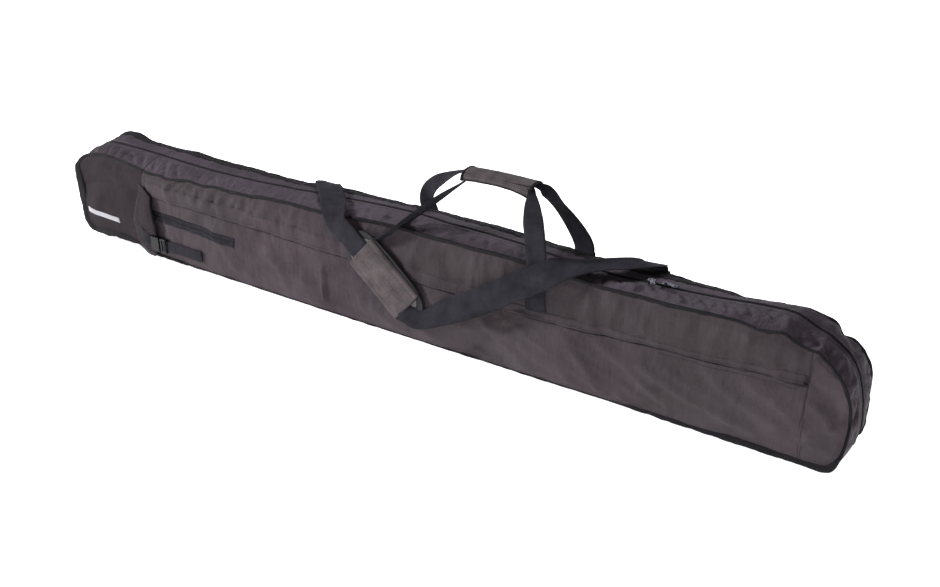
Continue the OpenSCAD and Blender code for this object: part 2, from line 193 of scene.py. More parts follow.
def fabric(name, dark, light, rib=True, rough=0.86, sheen=0.0, small=0.35, crinkle=0.5, spec=0.16, crease=0.55, hue=0.0):
    """Woven or coated cloth: a fine rib along the cloth, faint crumpling and slightly uneven colour."""
    m = Mat(name, rough=rough, sheen=sheen, spec=spec)
    v = m.coords("Object")
    blotch = m.ramp(m.noise(v, 9, 4, 0.6), 0.3, 0.7)
    fine = m.noise(v, 900, 2, 0.5)
    f = m.math("MULTIPLY_ADD", fine, 0.35)
    n = f.node
    n.inputs[1].default_value = 0.35
    m.link(blotch, n.inputs[2])
    first = m.mix(m.ramp(f, 0.1, 1.2), dark, light)
    if hue:
        n2 = m.new("ShaderNodeMix", data_type="RGBA")
        m.link(m.ramp(m.noise(m.coords("Object", (1, 1, 0.5)), 5.0, 3, 0.5), 0.42, 0.62, 0.0, hue), n2.inputs[0])
        m.link(first.outputs[2], n2.inputs[6])
        g_ = (dark[0] + light[0]) * 0.5
        n2.inputs[7].default_value = (g_ * 1.02, g_ * 0.92, g_ * 0.92, 1)
        m.link(n2.outputs[2], m.b.inputs["Base Color"])
    m.bump(m.noise(v, 38, 5, 0.6), crinkle, 0.005)
    m.bump(m.noise(m.coords("Object", (1, 1, 0.22)), 62, 3, 0.55), crease, 0.006)
    if rib:
        w1 = m.wave(v, 260, "DIAGONAL")
        w2 = m.wave(m.coords("Object", (1, 1, 1), (0, math.radians(62), 0)), 420, "Z")
        m.bump(m.math("ADD", w1, w2), small, 0.0006)
    else:
        m.bump(m.noise(v, 1500, 2, 0.5), small, 0.0004)
    rr = m.ramp(blotch, 0, 1, rough - 0.06, rough + 0.05)
    m.link(rr, m.b.inputs["Roughness"])
    return m.m


def webbing_mat(name, dark, light, pitch=1.5, rough=0.7, spec=0.25, sheen=0.0):
    """Woven strap: UV runs in metres, U along the strap and V across it."""
    m = Mat(name, rough=rough, sheen=sheen, spec=spec)
    v = m.coords("UV")
    k = 2 * math.pi / (20 * pitch / 1000)
    along = m.wave(v, k * 1.0, "X")
    across = m.wave(v, k * 1.6, "Y")
    weave = m.math("MULTIPLY", along, across)
    ob = m.coords("Object")
    blotch = m.ramp(m.noise(ob, 30, 3), 0.3, 0.7)
    s = m.math("MULTIPLY_ADD", weave, 0.6)
    s.node.inputs[1].default_value = 0.6
    m.link(blotch, s.node.inputs[2])
    m.mix(m.ramp(s, 0.0, 1.5), dark, light)
    m.bump(m.noise(ob, 60, 3), 0.25, 0.0025)
    m.bump(weave, 0.8, 0.0012)
    return m.m


M = {}
M["body_fabric"] = fabric("m_body", lin((50.5, 43, 47.5)), lin((78, 68.5, 74)), hue=0.4)
upper_cloth = fabric("m_upper", lin((46, 40, 43)), lin((72, 64.5, 68.5)), hue=0.4)
M["body_fabric_light"] = fabric("m_gusset", lin((42, 36, 42)), lin((69, 60, 69)), rib=False, rough=0.66, crinkle=0.8, spec=0.22, crease=0.5)
M["end_fabric"] = fabric("m_end", lin((23, 16, 20)), lin((37, 28, 33)), rib=False, rough=0.7, small=0.2, crinkle=0.3, crease=0.15)
M["binding"] = webbing_mat("m_binding", lin((8, 7, 10)), lin((28, 25, 31)), 1.4, 0.8)
M["zip_tape"] = webbing_mat("m_zip", lin((10, 9, 11)), lin((24, 22, 26)), 0.9, 0.7)
M["webbing"] = webbing_mat("m_webbing", lin((24, 23, 29)), lin((52, 51, 59)), 1.8, 0.8, 0.15)
M["lining"] = fabric("m_lining", lin((60, 55, 60)), lin((76, 70, 76)), rib=False, rough=0.8)
M["grip_cloth"] = webbing_mat("m_grip", lin((56, 49, 50)), lin((99, 91, 92)), 4.2, 0.85)


def plain(name, dark, light, rough, spec=0.5, metallic=0.0, coat=0.0, scale=300, bump=0.15, dist=0.0006, big=20):
    m = Mat(name, rough=rough, metallic=metallic, coat=coat, spec=spec)
    v = m.coords("Object")
    m.mix(m.ramp(m.noise(v, big, 3), 0.3, 0.7), dark, light)
    m.bump(m.noise(v, scale, 3), bump, dist)
    r = m.ramp(m.noise(v, big * 4, 2), 0.3, 0.7, rough - 0.05, rough + 0.06)
    m.link(r, m.b.inputs["Roughness"])
    return m.m


M["pad_rubber"] = plain("m_rubber", lin((22, 21, 25)), lin((38, 37, 42)), 0.72, 0.4, scale=700, bump=0.4, dist=0.0008)
M["pull_metal"] = plain("m_pull", lin((72, 72, 78)), lin((100, 100, 108)), 0.36, metallic=1.0, scale=900, bump=0.1, dist=0.0003)
M["black_plastic"] = plain("m_plastic", lin((9, 9, 11)), lin((16, 16, 19)), 0.5, 0.35, coat=0.0, scale=1200, bump=0.12, dist=0.0002)
M["black_metal"] = plain("m_blackmetal", lin((36, 36, 40)), lin((50, 50, 55)), 0.4, 0.5, scale=900, bump=0.1, dist=0.0003)
M["reflective"] = plain("m_reflective", lin((150, 150, 154)), lin((176, 176, 180)), 0.6, 0.4, scale=1400, bump=0.3, dist=0.0003)
M["thread"] = plain("m_thread", lin((96, 90, 96)), lin((122, 114, 120)), 0.7)
M["thread_dark"] = plain("m_thread_dark", lin((22, 20, 23)), lin((36, 33, 37)), 0.8)
M["pad_grey"] = plain("m_padgrey", lin((84, 82, 86)), lin((110, 108, 112)), 0.7, 0.4, scale=500, bump=0.3)

# ---------------------------------------------------------------- mesh helpers (millimetres in, metres out)
rng = np.random.default_rng(11)


def finish_mesh(name, V, Fc, body, slot, mat=None, uv=None, smooth=True, replaces=()):
    me = bpy.data.meshes.new(name)
    V = np.asarray(V, float) / 1000
    me.from_pydata(V.tolist(), [], [list(map(int, f)) for f in Fc])
    if smooth:
        me.polygons.foreach_set("use_smooth", [True] * len(me.polygons))
    if uv is not None:
        lay = me.uv_layers.new(name="UVMap")
        idx = np.empty(len(me.loops), dtype=int)
        me.loops.foreach_get("vertex_index", idx)
        lay.data.foreach_set("uv", (np.asarray(uv, float)[idx] / 1000).ravel())
    me.validate()
    me.update()
    o = bpy.data.objects.new(name, me)
    scene.collection.objects.link(o)
    o.data.materials.append(mat or M[slot])
    if body:
        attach(o, body)
    if replaces:
        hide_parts(*replaces)
    return o


def grid_normals(P):
    a = np.gradient(P, axis=0)
    b = np.gradient(P, axis=1)
    n = np.cross(a, b)
    l = np.linalg.norm(n, axis=2, keepdims=True)
    return n / np.maximum(l, 1e-9)


def slab(P, th, flip=False, mask=None):
    """Closed sheet: P is the outer face, nk x nr x 3; the inner face lies th behind it. mask keeps cells."""
    nk, nr = P.shape[:2]
    n = grid_normals(P) * (-1 if flip else 1)
    Q = P - n * th
    V = np.concatenate([P.reshape(-1, 3), Q.reshape(-1, 3)])
    idx = np.arange(nk * nr).reshape(nk, nr)
    a, b, c, d = idx[:-1, :-1], idx[1:, :-1], idx[1:, 1:], idx[:-1, 1:]
    keep = np.ones(a.shape, bool) if mask is None else mask
    N = nk * nr
    top = np.stack([a, b, c, d], -1)[keep]
    bot = np.stack([d, c, b, a], -1)[keep] + N
    if flip:
        top, bot = top[:, ::-1], bot[:, ::-1]
    faces = [top, bot]
    # rims: every edge that belongs to one kept cell only
    edges = {}
    for f in top:
        for i in range(4):
            e = (int(f[i]), int(f[(i + 1) % 4]))
            if (e[1], e[0]) in edges:
                del edges[(e[1], e[0])]
            else:
                edges[e] = 1
    rim = np.array([[e[1], e[0], e[0] + N, e[1] + N] for e in edges], int)
    F = np.concatenate([*faces, rim])
    used = np.unique(F)
    remap = np.full(len(V), -1)
    remap[used] = np.arange(len(used))
    return V[used], remap[F], used


def sheet_obj(name, P, th, body, slot, flip=False, mask=None, mat=None, replaces=(), uv=None):
    V, F, used = slab(P, th, flip, mask)
    if uv is None:
        du = np.cumsum(np.r_[0, np.linalg.norm(np.diff(P.mean(1), axis=0), axis=1)])
        dv = np.cumsum(np.r_[0, np.linalg.norm(np.diff(P.mean(0), axis=0), axis=1)])
        uv = np.stack(np.meshgrid(du, dv, indexing="ij"), -1)
    uv2 = np.concatenate([uv.reshape(-1, 2)] * 2)[used]
    return finish_mesh(name, V, F, body, slot, mat, uv2, True, replaces)


def catmull(P, step):
    P = np.asarray(P, float)
    out = [P[0]]
    n = len(P)
    T = [0.0]
    for i in range(n - 1):
        p0, p1, p2, p3 = P[max(i - 1, 0)], P[i], P[i + 1], P[min(i + 2, n - 1)]
        m = max(int(np.linalg.norm((p2 - p1)[:3]) / step), 1)
        for j in range(1, m + 1):
            t = j / m
            out.append(0.5 * ((2 * p1) + (-p0 + p2) * t + (2 * p0 - 5 * p1 + 4 * p2 - p3) * t * t + (-p0 + 3 * p1 - 3 * p2 + p3) * t ** 3))
            T.append(i + t)
    return np.array(out), np.array(T)


def frames(C, W):
    t = np.gradient(C, axis=0)
    t /= np.linalg.norm(t, axis=1, keepdims=True)
    m = np.cross(t, W)
    m /= np.linalg.norm(m, axis=1, keepdims=True)
    u = np.cross(m, t)
    return t, m, u


def strap_grid(P, W, wd, step=4, across=9, cup=0.0, wav=0.5, seed=0, width=None):
    """Centre line and width directions to a grid of points across the strap."""
    P = np.asarray(P, float)
    W = np.asarray([np.asarray(w, float) / np.linalg.norm(w) for w in W])
    C, T = catmull(np.concatenate([P, W * 10], 1), step)
    C, Wd = C[:, :3], C[:, 3:]
    t, m, u = frames(C, Wd)
    s = np.linspace(-1, 1, across)
    L = np.cumsum(np.r_[0, np.linalg.norm(np.diff(C, axis=0), axis=1)])
    ww = np.full(len(C), wd / 2.0) if width is None else np.interp(T, range(len(width)), width) / 2
    G = C[:, None] + u[:, None] * s[None, :, None] * ww[:, None, None]
    off = cup * (s[None, :] ** 2 - 0.33) * np.ones((len(C), 1))
    if wav:
        for i in range(len(C)):
            for j in range(across):
                off[i, j] += wav * noise.noise(Vector((L[i] / 45 + seed * 7.3, s[j] * 0.8, seed * 3.1)))
    G = G + m[:, None] * off[..., None]
    return G, L, ww


def strap_obj(name, P, W, wd, th, body, slot="webbing", step=4, across=9, cup=0.0, wav=0.5, seed=0, replaces=(), width=None, mat=None):
    G, L, ww = strap_grid(P, W, wd, step, across, cup, wav, seed, width)
    uv = np.stack(np.meshgrid(L, np.linspace(-wd / 2, wd / 2, across), indexing="ij"), -1)
    n = grid_normals(G)
    # rounded selvedge: the outermost columns are thinner
    e = np.ones(across)
    e[0] = e[-1] = 0.45
    A = G + n * (th / 2) * e[None, :, None]
    B = G - n * (th / 2) * e[None, :, None]
    nk, nr = G.shape[:2]
    N = nk * nr
    V = np.concatenate([A.reshape(-1, 3), B.reshape(-1, 3)])
    idx = np.arange(N).reshape(nk, nr)
    a, b, c, d = idx[:-1, :-1].ravel(), idx[1:, :-1].ravel(), idx[1:, 1:].ravel(), idx[:-1, 1:].ravel()
    F = [np.stack([a, b, c, d], 1), np.stack([d, c, b, a], 1) + N]
    for k in (0, nk - 1):
        r = idx[k]
        q = np.stack([r[:-1], r[1:], r[1:] + N, r[:-1] + N], 1)
        F.append(q if k == 0 else q[:, ::-1])
    for k in (0, nr - 1):
        r = idx[:, k]
        q = np.stack([r[:-1], r[1:], r[1:] + N, r[:-1] + N], 1)
        F.append(q[:, ::-1] if k == 0 else q)
    uv2 = np.concatenate([uv.reshape(-1, 2)] * 2)
    return finish_mesh(name, V, np.concatenate(F), body, slot, mat, uv2, True, replaces)


def sweep_obj(name, C, X, Y, sec, body, slot, replaces=(), scale=None, mat=None, closed=False, along=None):
    """Sweeps the closed section sec (n x 2) along C with the section's axes X and Y at each point."""
    n, k = len(C), len(sec)
    sc = np.ones((n, 2)) if scale is None else scale
    V = C[:, None] + X[:, None] * (sec[None, :, 0, None] * sc[:, None, 0:1]) + Y[:, None] * (sec[None, :, 1, None] * sc[:, None, 1:2])
    V = V.reshape(-1, 3)
    F = []
    rng_i = range(n if closed else n - 1)
    for i in rng_i:
        j = (i + 1) % n
        for a in range(k):
            b = (a + 1) % k
            F.append((i * k + a, i * k + b, j * k + b, j * k + a))
    if not closed:
        F.append(tuple(range(k))[::-1])
        F.append(tuple((n - 1) * k + a for a in range(k)))
    L = np.cumsum(np.r_[0, np.linalg.norm(np.diff(C, axis=0), axis=1)])
    per = np.cumsum(np.r_[0, np.linalg.norm(np.diff(sec, axis=0), axis=1)])
    uv = np.stack(np.meshgrid(L, per, indexing="ij"), -1).reshape(-1, 2)
    # outward faces whichever way the frame turns
    t = C[1] - C[0]
    if np.dot(np.cross(X[0], Y[0]), t) < 0:
        F = [f[::-1] for f in F]
    area2 = np.sum(sec[:, 0] * np.roll(sec[:, 1], -1) - np.roll(sec[:, 0], -1) * sec[:, 1])
    if area2 < 0:
        F = [f[::-1] for f in F]
    F = [f[::-1] for f in F]
    return finish_mesh(name, V, F, body, slot, mat, uv, True, replaces)


def oval(w, h, n=12, p=2.6):
    a = np.linspace(0, 2 * math.pi, n, endpoint=False)
    c, s = np.cos(a), np.sin(a)
    return np.stack([np.sign(c) * np.abs(c) ** (2 / p) * w / 2, np.sign(s) * np.abs(s) ** (2 / p) * h / 2], 1)


def stitches(name, pts, nrm, body, slot, pitch=3.4, length=2.3, r=0.35, mat=None):
    """A row of small thread beads along the polyline pts, standing on the surface with normal nrm."""
    pts = np.asarray(pts, float)
    seg = np.linalg.norm(np.diff(pts, axis=0), axis=1)
    L = np.r_[0, np.cumsum(seg)]
    nn = np.asarray(nrm, float)
    if nn.ndim == 1:
        nn = np.repeat(nn[None], len(pts), 0)
    at = np.arange(pitch / 2, L[-1] - pitch / 2, pitch)
    V, F = [], []
    for s in at:
        p = np.array([np.interp(s, L, pts[:, k]) for k in range(3)])
        q = np.array([np.interp(min(s + 0.5, L[-1]), L, pts[:, k]) for k in range(3)])
        t = q - p
        t /= max(np.linalg.norm(t), 1e-9)
        m = np.array([np.interp(s, L, nn[:, k]) for k in range(3)])
        m /= np.linalg.norm(m)
        w = np.cross(t, m)
        b = len(V)
        for x, rr in ((-length / 2, 0.35), (-length / 4, 1), (length / 4, 1), (length / 2, 0.35)):
            for a in range(5):
                ang = 2 * math.pi * a / 5
                V.append(p + t * x + (w * math.cos(ang) + m * math.sin(ang)) * r * rr)
        for i in range(3):
            for a in range(5):
                c = (a + 1) % 5
                F.append((b + i * 5 + a, b + i * 5 + c, b + (i + 1) * 5 + c, b + (i + 1) * 5 + a))
        F.append(tuple(b + a for a in range(5))[::-1])
        F.append(tuple(b + 15 + a for a in range(5)))
    if not V:
        return None
    return finish_mesh(name, V, F, body, slot, mat or M["thread"], np.zeros((len(V), 2)), True)


# ---------------------------------------------------------------- the outline curves (x:z pairs, mm)


def curve(text):
    return np.array([[float(v) for v in p.split(":")] for p in text.split()])


F_TOP = curve("-845:203 -830:208 -816:211 -785:215 -759:215 -733:212 -708:210 -683:206 -659:202 -634:200 -609:201 -591:198 -573:199 -535:205 -517:207 -500:205 -477:204 -453:208 -430:209 -402:208 -374:209 -346:210 -312:215 -277:216 -238:218 -186:217 -143:217 -86:222 -62:224 -26:226 9:228 50:228 100:226 144:226 187:225 229:226 270:226 304:225 392:221 446:216 482:217 518:218 571:217 606:218 639:220 689:220 705:217 716:214 737:216 749:219 757:221 765:217 775:211 785:207 800:204")
F_RIGHT = curve("800:204 808:203 814:204 818:200 823:195 830:190 837:185 844:177 851:171 858:161 864:151 869:138 874:122 876:105 877:88 876:70 875:51")
F_BOT = curve("875:51 872:35 867:20 861:8 850:3 800:3 700:4 500:5 300:4 100:3 -100:3 -300:4 -500:5 -620:6 -660:7 -677:8 -690:13 -705:20 -737:22 -763:24 -787:23 -811:21 -839:20 -857:24 -866:29")
F_LEFT = curve("-866:29 -873:38 -876:50 -877:64 -878:80 -880:110 -883:140 -884:160 -882:174 -875:184 -866:191 -855:198 -845:203")
B_TOP = curve("-845:224 -838:226 -821:229 -797:230 -778:225 -766:220 -743:217 -653:216 -621:218 -596:218 -569:215 -515:213 -427:214 -370:211 -314:211 -295:210 -265:215 -206:219 -154:220 -104:219 -30:219 -11:221 65:221 177:221 221:218 274:215 336:212 370:208 464:211 520:211 575:208 628:207 655:204 680:205 713:209 736:210 751:213 765:213 782:210 800:205")
B_RIGHT = curve("800:205 806:202 812:196 816:187 820:181 829:181 837:180 846:175 855:166 863:154 870:140 873:125 874:108 873:90 875:70 875:51")
B_BOT = curve("875:51 874:33 870:16 860:6 845:3 700:3 300:3 -100:3 -500:4 -660:5 -700:9 -760:10 -820:10 -850:14 -864:26")
B_LEFT = curve("-864:26 -872:44 -874:80 -874:120 -873:160 -871:185 -866:205 -857:217 -845:224")
Z_TOP = curve("-845:216 -838:219 -822:222 -800:223 -733:223 -669:221 -607:218 -546:216 -487:215 -429:216 -372:217 -316:220 -262:222 -209:226 -133:230 -83:233 -34:235 13:236 59:235 104:232 192:231 255:228 307:223 380:218 454:214 512:217 563:218 632:222 698:229 747:231 763:229 780:221 790:216 800:212")
Z_RIGHT = curve("800:212 813:208 829:198 847:185 858:171 867:153 872:137 878:112 881:85 882:65 881:50")


def resample(c, n):
    d = np.r_[0, np.cumsum(np.linalg.norm(np.diff(c, axis=0), axis=1))]
    s = np.linspace(0, d[-1], 1200)
    f = np.stack([np.interp(s, d, c[:, k]) for k in (0, 1)], 1)
    k = np.exp(-0.5 * (np.arange(-12, 13) / 4.0) ** 2)
    k /= k.sum()
    # light smoothing, ends held
    pad = np.concatenate([2 * f[0] - f[12:0:-1], f, 2 * f[-1] - f[-2:-14:-1]])
    g = np.stack([np.convolve(pad[:, i], k, "valid") for i in (0, 1)], 1)
    g[0], g[-1] = f[0], f[-1]
    d = np.r_[0, np.cumsum(np.linalg.norm(np.diff(g, axis=0), axis=1))]
    s = np.linspace(0, d[-1], n)
    return np.stack([np.interp(s, d, g[:, i]) for i in (0, 1)], 1)


def at_x(c, xs):
    """Height of a top curve at the given x (curve runs left to right), lightly smoothed."""
    o = np.argsort(c[:, 0])
    fine = np.arange(xs.min() - 40, xs.max() + 40, 2.0)
    z = np.interp(fine, c[o, 0], c[o, 1])
    k = np.exp(-0.5 * (np.arange(-8, 9) / 3.0) ** 2)
    z = np.convolve(np.pad(z, 8, "edge"), k / k.sum(), "valid")
    return np.interp(xs, fine, z)


SPLIT = mm("upper_panel")[0][0]
HALF = -mm("upper_panel")[1][1]


def fbm(x, y, z, octaves=3):
    v, a, f = 0.0, 1.0, 1.0
    for _ in range(octaves):
        v += a * noise.noise(Vector((x * f, y * f, z * f)))
        a *= 0.5
        f *= 2.1
    return v


def ridge(X, Z, p, q, width, amp, sharp=1.0, fade=0.25):
    """Height of a fold that runs from p to q, at the points X, Z."""
    p, q = np.array(p, float), np.array(q, float)
    d = q - p
    L = np.linalg.norm(d)
    d /= L
    u = (X - p[0]) * d[0] + (Z - p[1]) * d[1]
    w = (X - p[0]) * -d[1] + (Z - p[1]) * d[0]
    w = w + width * 0.35 * np.sin(u / L * 5 + p[0])
    e = np.clip(np.minimum(u, L - u) / (fade * L) + 0.15, 0, 1)
    e = e * e * (3 - 2 * e)
    g = np.exp(-np.abs(w / width) ** 1.7)
    # one flank steeper than the other
    g = g * (1 + 0.45 * sharp * np.tanh(w / width))
    return amp * e * g


# ---- columns of the front face -------------------------------------------------
XM = np.concatenate([np.arange(-660, -300, 4.0), np.arange(-300, 808, 5.0), [808.0]])
NL, NU = 26, 16


def pocket_z(x):
    """Height of the pocket line on the front face."""
    return np.interp(x, [-884, -700, -654, -571, -481, -423, -324, -217, -114, 0, 87, 157, 275, 356, 396, 434, 472, 509, 545, 598, 666, 732, 763, 808, 877],
                     [150, 149, 149, 146, 145, 144, 143, 141, 139, 134, 130, 128, 127, 128, 129, 131, 134, 136, 138, 141, 143, 145, 146, 148, 148])


def coons(top, bot, lef, rig):
    """top, bot: n x 2 (left to right); lef, rig: m x 2 (bottom to top)."""
    n, m = len(top), len(lef)
    u = np.linspace(0, 1, n)[:, None, None]
    v = np.linspace(0, 1, m)[None, :, None]
    A = (1 - v) * bot[:, None] + v * top[:, None]
    B = (1 - u) * lef[None] + u * rig[None]
    C = (1 - u) * (1 - v) * bot[0] + u * (1 - v) * bot[-1] + (1 - u) * v * top[0] + u * v * top[-1]
    return A + B - C


def seg(c, a, b, n):
    """Part a..b (fractions of length) of a polyline as n points."""
    f = resample(c, 400)
    i = np.linspace(a * 399, b * 399, n)
    return np.stack([np.interp(i, np.arange(400), f[:, k]) for k in (0, 1)], 1)


def build_face(top, left, right, bottom, left_x=SPLIT, right_x=808.0, nl=44, nrt=20):
    """Grid of the whole face: columns from the left end to the right end, rows from bottom to top."""
    zt = at_x(np.concatenate([left[-4:-1], top, right[1:4]]), XM)
    zb = at_x(bottom[bottom[:, 0] < 862][:-2], XM)
    zp = pocket_z(XM)
    rl = np.linspace(0, 1, NL + 1)
    ru = np.linspace(0, 1, NU + 1)[1:]
    Z = np.concatenate([zb[:, None] + (zp - zb)[:, None] * rl, zp[:, None] + (zt - zp)[:, None] * ru], 1)
    mid = np.stack([np.repeat(XM[:, None], NL + NU + 1, 1), Z], -1)
    # left patch
    topl = np.concatenate([left[-8:-1], top])
    topl = topl[(topl[:, 0] > -880) & (topl[:, 0] < -664)]
    tl = resample(np.concatenate([topl, [mid[0, -1]]]), nl)
    bl = bottom[::-1]
    bl = bl[(bl[:, 0] < -664)]
    bl = resample(np.concatenate([bl, [mid[0, 0]]]), nl)
    ll = left[left[:, 1] <= topl[0, 1] + 0.1]
    ll = np.concatenate([ll, [tl[0]]]) if np.linalg.norm(ll[-1] - tl[0]) > 0.5 else ll
    lef = resample(ll, NL + NU + 1)
    lef[0], lef[-1] = bl[0], tl[0]
    L = coons(tl, bl, lef, mid[0])
    # right patch: from x = 808 round to the end, its corner at about 45 degrees on the arc
    rr = right[(right[:, 0] > 809)]
    k = int(np.argmin(np.abs(rr[:, 1] - 158)))
    tr = resample(np.concatenate([[mid[-1, -1]], rr[:k + 1]]), nrt)
    end = np.concatenate([bottom[bottom[:, 0] > 858][::-1][0:], right[::-1]])
    end = end[(end[:, 0] > 858) & (end[:, 1] < rr[k, 1] - 0.5)]
    end = end[np.argsort(end[:, 1])]
    end = np.concatenate([end, [rr[k]]])
    rig = resample(end, NL + NU + 1)
    br = resample(np.array([mid[-1, 0], [840, 3], rig[0]]), nrt)
    R = coons(tr, br, mid[-1], rig)
    G = np.concatenate([L[:-1], mid, R[1:]], 0)
    return G, len(L) - 1, len(L) - 1 + len(mid) - 1


FG, KL, KR = build_face(F_TOP, F_LEFT, F_RIGHT, F_BOT)
nk, nr = FG.shape[:2]
X, Z = FG[..., 0], FG[..., 1]
ki = np.arange(nk)[:, None] * np.ones((1, nr))
ri = np.arange(nr)[None, :] * np.ones((nk, 1))
vlow = np.clip(ri / NL, 0, 1)
vup = np.clip((ri - NL) / NU, 0, 1)
endu = np.clip((X + 885) / 60, 0, 1) * np.clip((877 - X) / 50, 0, 1)
edge = np.clip(ri / 3, 0, 1) * np.clip((nr - 1 - ri) / 3, 0, 1) * np.clip(ki / 3, 0, 1) * np.clip((nk - 1 - ki) / 3, 0, 1)
bulge = 9.0 * np.sin(math.pi * vlow) ** 0.8 * (ri <= NL) + 4.5 * np.sin(math.pi * vup) ** 0.8 * (ri > NL) + 1.0
bulge *= (0.4 + 0.6 * endu)
D = bulge * edge
N1 = np.zeros_like(X)
N2 = np.zeros_like(X)
N3 = np.zeros_like(X)
for i in range(nk):
    for j in range(nr):
        x, z = X[i, j], Z[i, j]
        N1[i, j] = fbm(x / 150 + z / 260, 3.1, z / 95 - x / 420, 3)
        N2[i, j] = fbm(x / 26, 9.7, z / 140, 2)
        N3[i, j] = fbm(x / 48 - z / 60, 5.5, z / 60 + x / 160, 3)
calm = np.where(X < SPLIT, 0.45, 1.0)
D += edge * calm * (4.6 * N1 + 2.8 * N3)
# crisp folds come from the ridged part of the noise
D += edge * calm * 3.2 * (0.35 - np.abs(N1)) * np.clip(1 - np.abs(N3) * 1.2, 0, 1)
# vertical ripples of the upper panel, and puckers of the flap band under the pocket line
D += edge * 2.6 * N2 * (ri > NL) * (X > SPLIT)
band = np.exp(-((ri - NL) / 3.2) ** 2)
D += edge * 1.3 * band * N2 * (X > SPLIT) * (X < 805)
# named folds
for p, q, w, a in [((490, 119), (745, 23), 13, 6.5), ((430, 128), (600, 30), 12, 4.5), ((560, 118), (700, 60), 12, 3.5), ((380, 110), (470, 15), 13, 4.0),
                   ((640, 120), (790, 55), 12, 4.5), ((200, 112), (330, 20), 16, 3.5), ((-160, 118), (-153, 20), 6, 4.0), ((-40, 40), (60, 12), 12, 2.5),
                   ((-330, 120), (-230, 20), 15, 3.0), ((-480, 128), (-380, 30), 14, 2.4), ((-250, 60), (-90, 110), 14, 2.5),
                   ((150, 60), (300, 112), 14, 2.0), ((700, 130), (835, 60), 10, 3.5), ((800, 40), (868, 100), 9, 3.5), ((812, 130), (862, 70), 8, 2.5),
                   ((-620, 120), (-560, 20), 12, 2.2), ((-860, 60), (-760, 150), 26, 2.0), ((-820, 190), (-700, 130), 22, 1.6)]:
    D += edge * ridge(X, Z, p, q, w, a * 1.5)
N4 = np.zeros_like(X)
for i in range(nk):
    for j in range(nr):
        N4[i, j] = fbm((0.38 * X[i, j] + Z[i, j]) / 36, 44.4, (X[i, j] - 0.38 * Z[i, j]) / 260, 2)
diag = np.clip((X - 60) / 220, 0, 1) * (ri <= NL)
D += edge * diag * 2.6 * np.clip(0.30 - np.abs(N4), 0, 1) * 3.0 + edge * diag * 1.2 * N4
for k in range(15):
    x0 = -600 + 26 * k + 7 * math.sin(k * 2.1)
    far = 1.0 - 0.04 * k
    D += edge * ridge(X, Z, (x0, 156 + 8 * math.sin(k * 1.3)), (x0 + 44, 212), 6.0, 5.6 * far, fade=0.45)
for x0 in (-210, -60, 60, 120, 190, 250, 420, 470, 530, 600, 650, 700, 750, 780):
    D += edge * ridge(X, Z, (x0, pocket_z(x0) + 12), (x0 + 14, 218), 7.0, 2.4)
D = np.maximum(D, -1.2)
P_FRONT = np.stack([X, -HALF - D, Z], -1)

# the pocket slider and its pull hide under the cloth near the right end of the pocket line
cell_k = np.arange(nk - 1)[:, None] * np.ones((1, nr - 1), int)
cell_r = np.arange(nr - 1)[None, :] * np.ones((nk - 1, 1), int)
is_end = cell_k < KL
is_tip = cell_k >= KR
low = cell_r < NL
sheet_obj("front_end", P_FRONT, 1.4, "end_section", "end_fabric", mask=is_end, replaces=("end_front_panel",))
sheet_obj("front_lower", P_FRONT, 1.4, "bag", "body_fabric", mask=~is_end & ~is_tip & low, replaces=("pocket_panel",))
up = P_FRONT.copy()
sheet_obj("front_upper", up, 1.4, "bag", "body_fabric", mat=upper_cloth, mask=~is_end & ~is_tip & ~low, replaces=("upper_panel",))
sheet_obj("front_tip", P_FRONT, 1.4, "bag", "body_fabric", mask=is_tip, replaces=("tip_panel",))

# ---- the back face --------------------------------------------------------------
BG, _, _ = build_face(B_TOP, B_LEFT, B_RIGHT, B_BOT)
Xb, Zb = BG[..., 0], BG[..., 1]
Db = 5.0 * np.sin(math.pi * np.clip(ri / (nr - 1), 0, 1)) ** 0.8 * (0.4 + 0.6 * endu) * edge
for i in range(nk):
    for j in range(nr):
        x, z = Xb[i, j], Zb[i, j]
        Db[i, j] += edge[i, j] * (2.4 * fbm(x / 170 - z / 300, 23.1, z / 100, 3) + 0.9 * fbm(x / 40, 29.7, z / 90, 2))
for p, q, w, a in [((-500, 40), (-300, 180), 16, 3), ((-100, 190), (60, 40), 18, 3), ((300, 30), (420, 180), 16, 3), ((600, 180), (760, 30), 15, 3.5), ((100, 60), (300, 90), 18, 2)]:
    Db += edge * ridge(Xb, Zb, p, q, w, a)
Db = np.clip(Db, -1.0, 9.0)
P_BACK = np.stack([Xb, HALF + Db, Zb], -1)
sheet_obj("back_end", P_BACK, 1.4, "end_section", "end_fabric", flip=True, mask=is_end, replaces=("end_back_panel",))
sheet_obj("back_main", P_BACK, 1.4, "bag", "body_fabric", flip=True, mask=~is_end, replaces=("back_panel",))

# ---- gussets: strips between a bound edge and the zip ----------------------------
NT = 380
xs_end = np.linspace(-845, SPLIT, 44)
xs_mid = np.linspace(SPLIT, 800, 360)


def top_line(top, left, right):
    z1 = at_x(np.concatenate([left[-4:-1], top, right[1:4]]), np.concatenate([xs_end, xs_mid[1:]]))
    pts = np.stack([np.concatenate([xs_end, xs_mid[1:]]), z1], 1)
    rr = resample(np.concatenate([[pts[-1]], right[1:]]), 64)
    return np.concatenate([pts, rr[1:]])


LF = top_line(F_TOP, F_LEFT, F_RIGHT)
LB = top_line(B_TOP, B_LEFT, B_RIGHT)
LZ = top_line(Z_TOP, np.array([[-870, 190], [-860, 202], [-852, 211], [-845, 216]]), Z_RIGHT)
K_SPLIT = len(xs_end) - 1
NG = 15


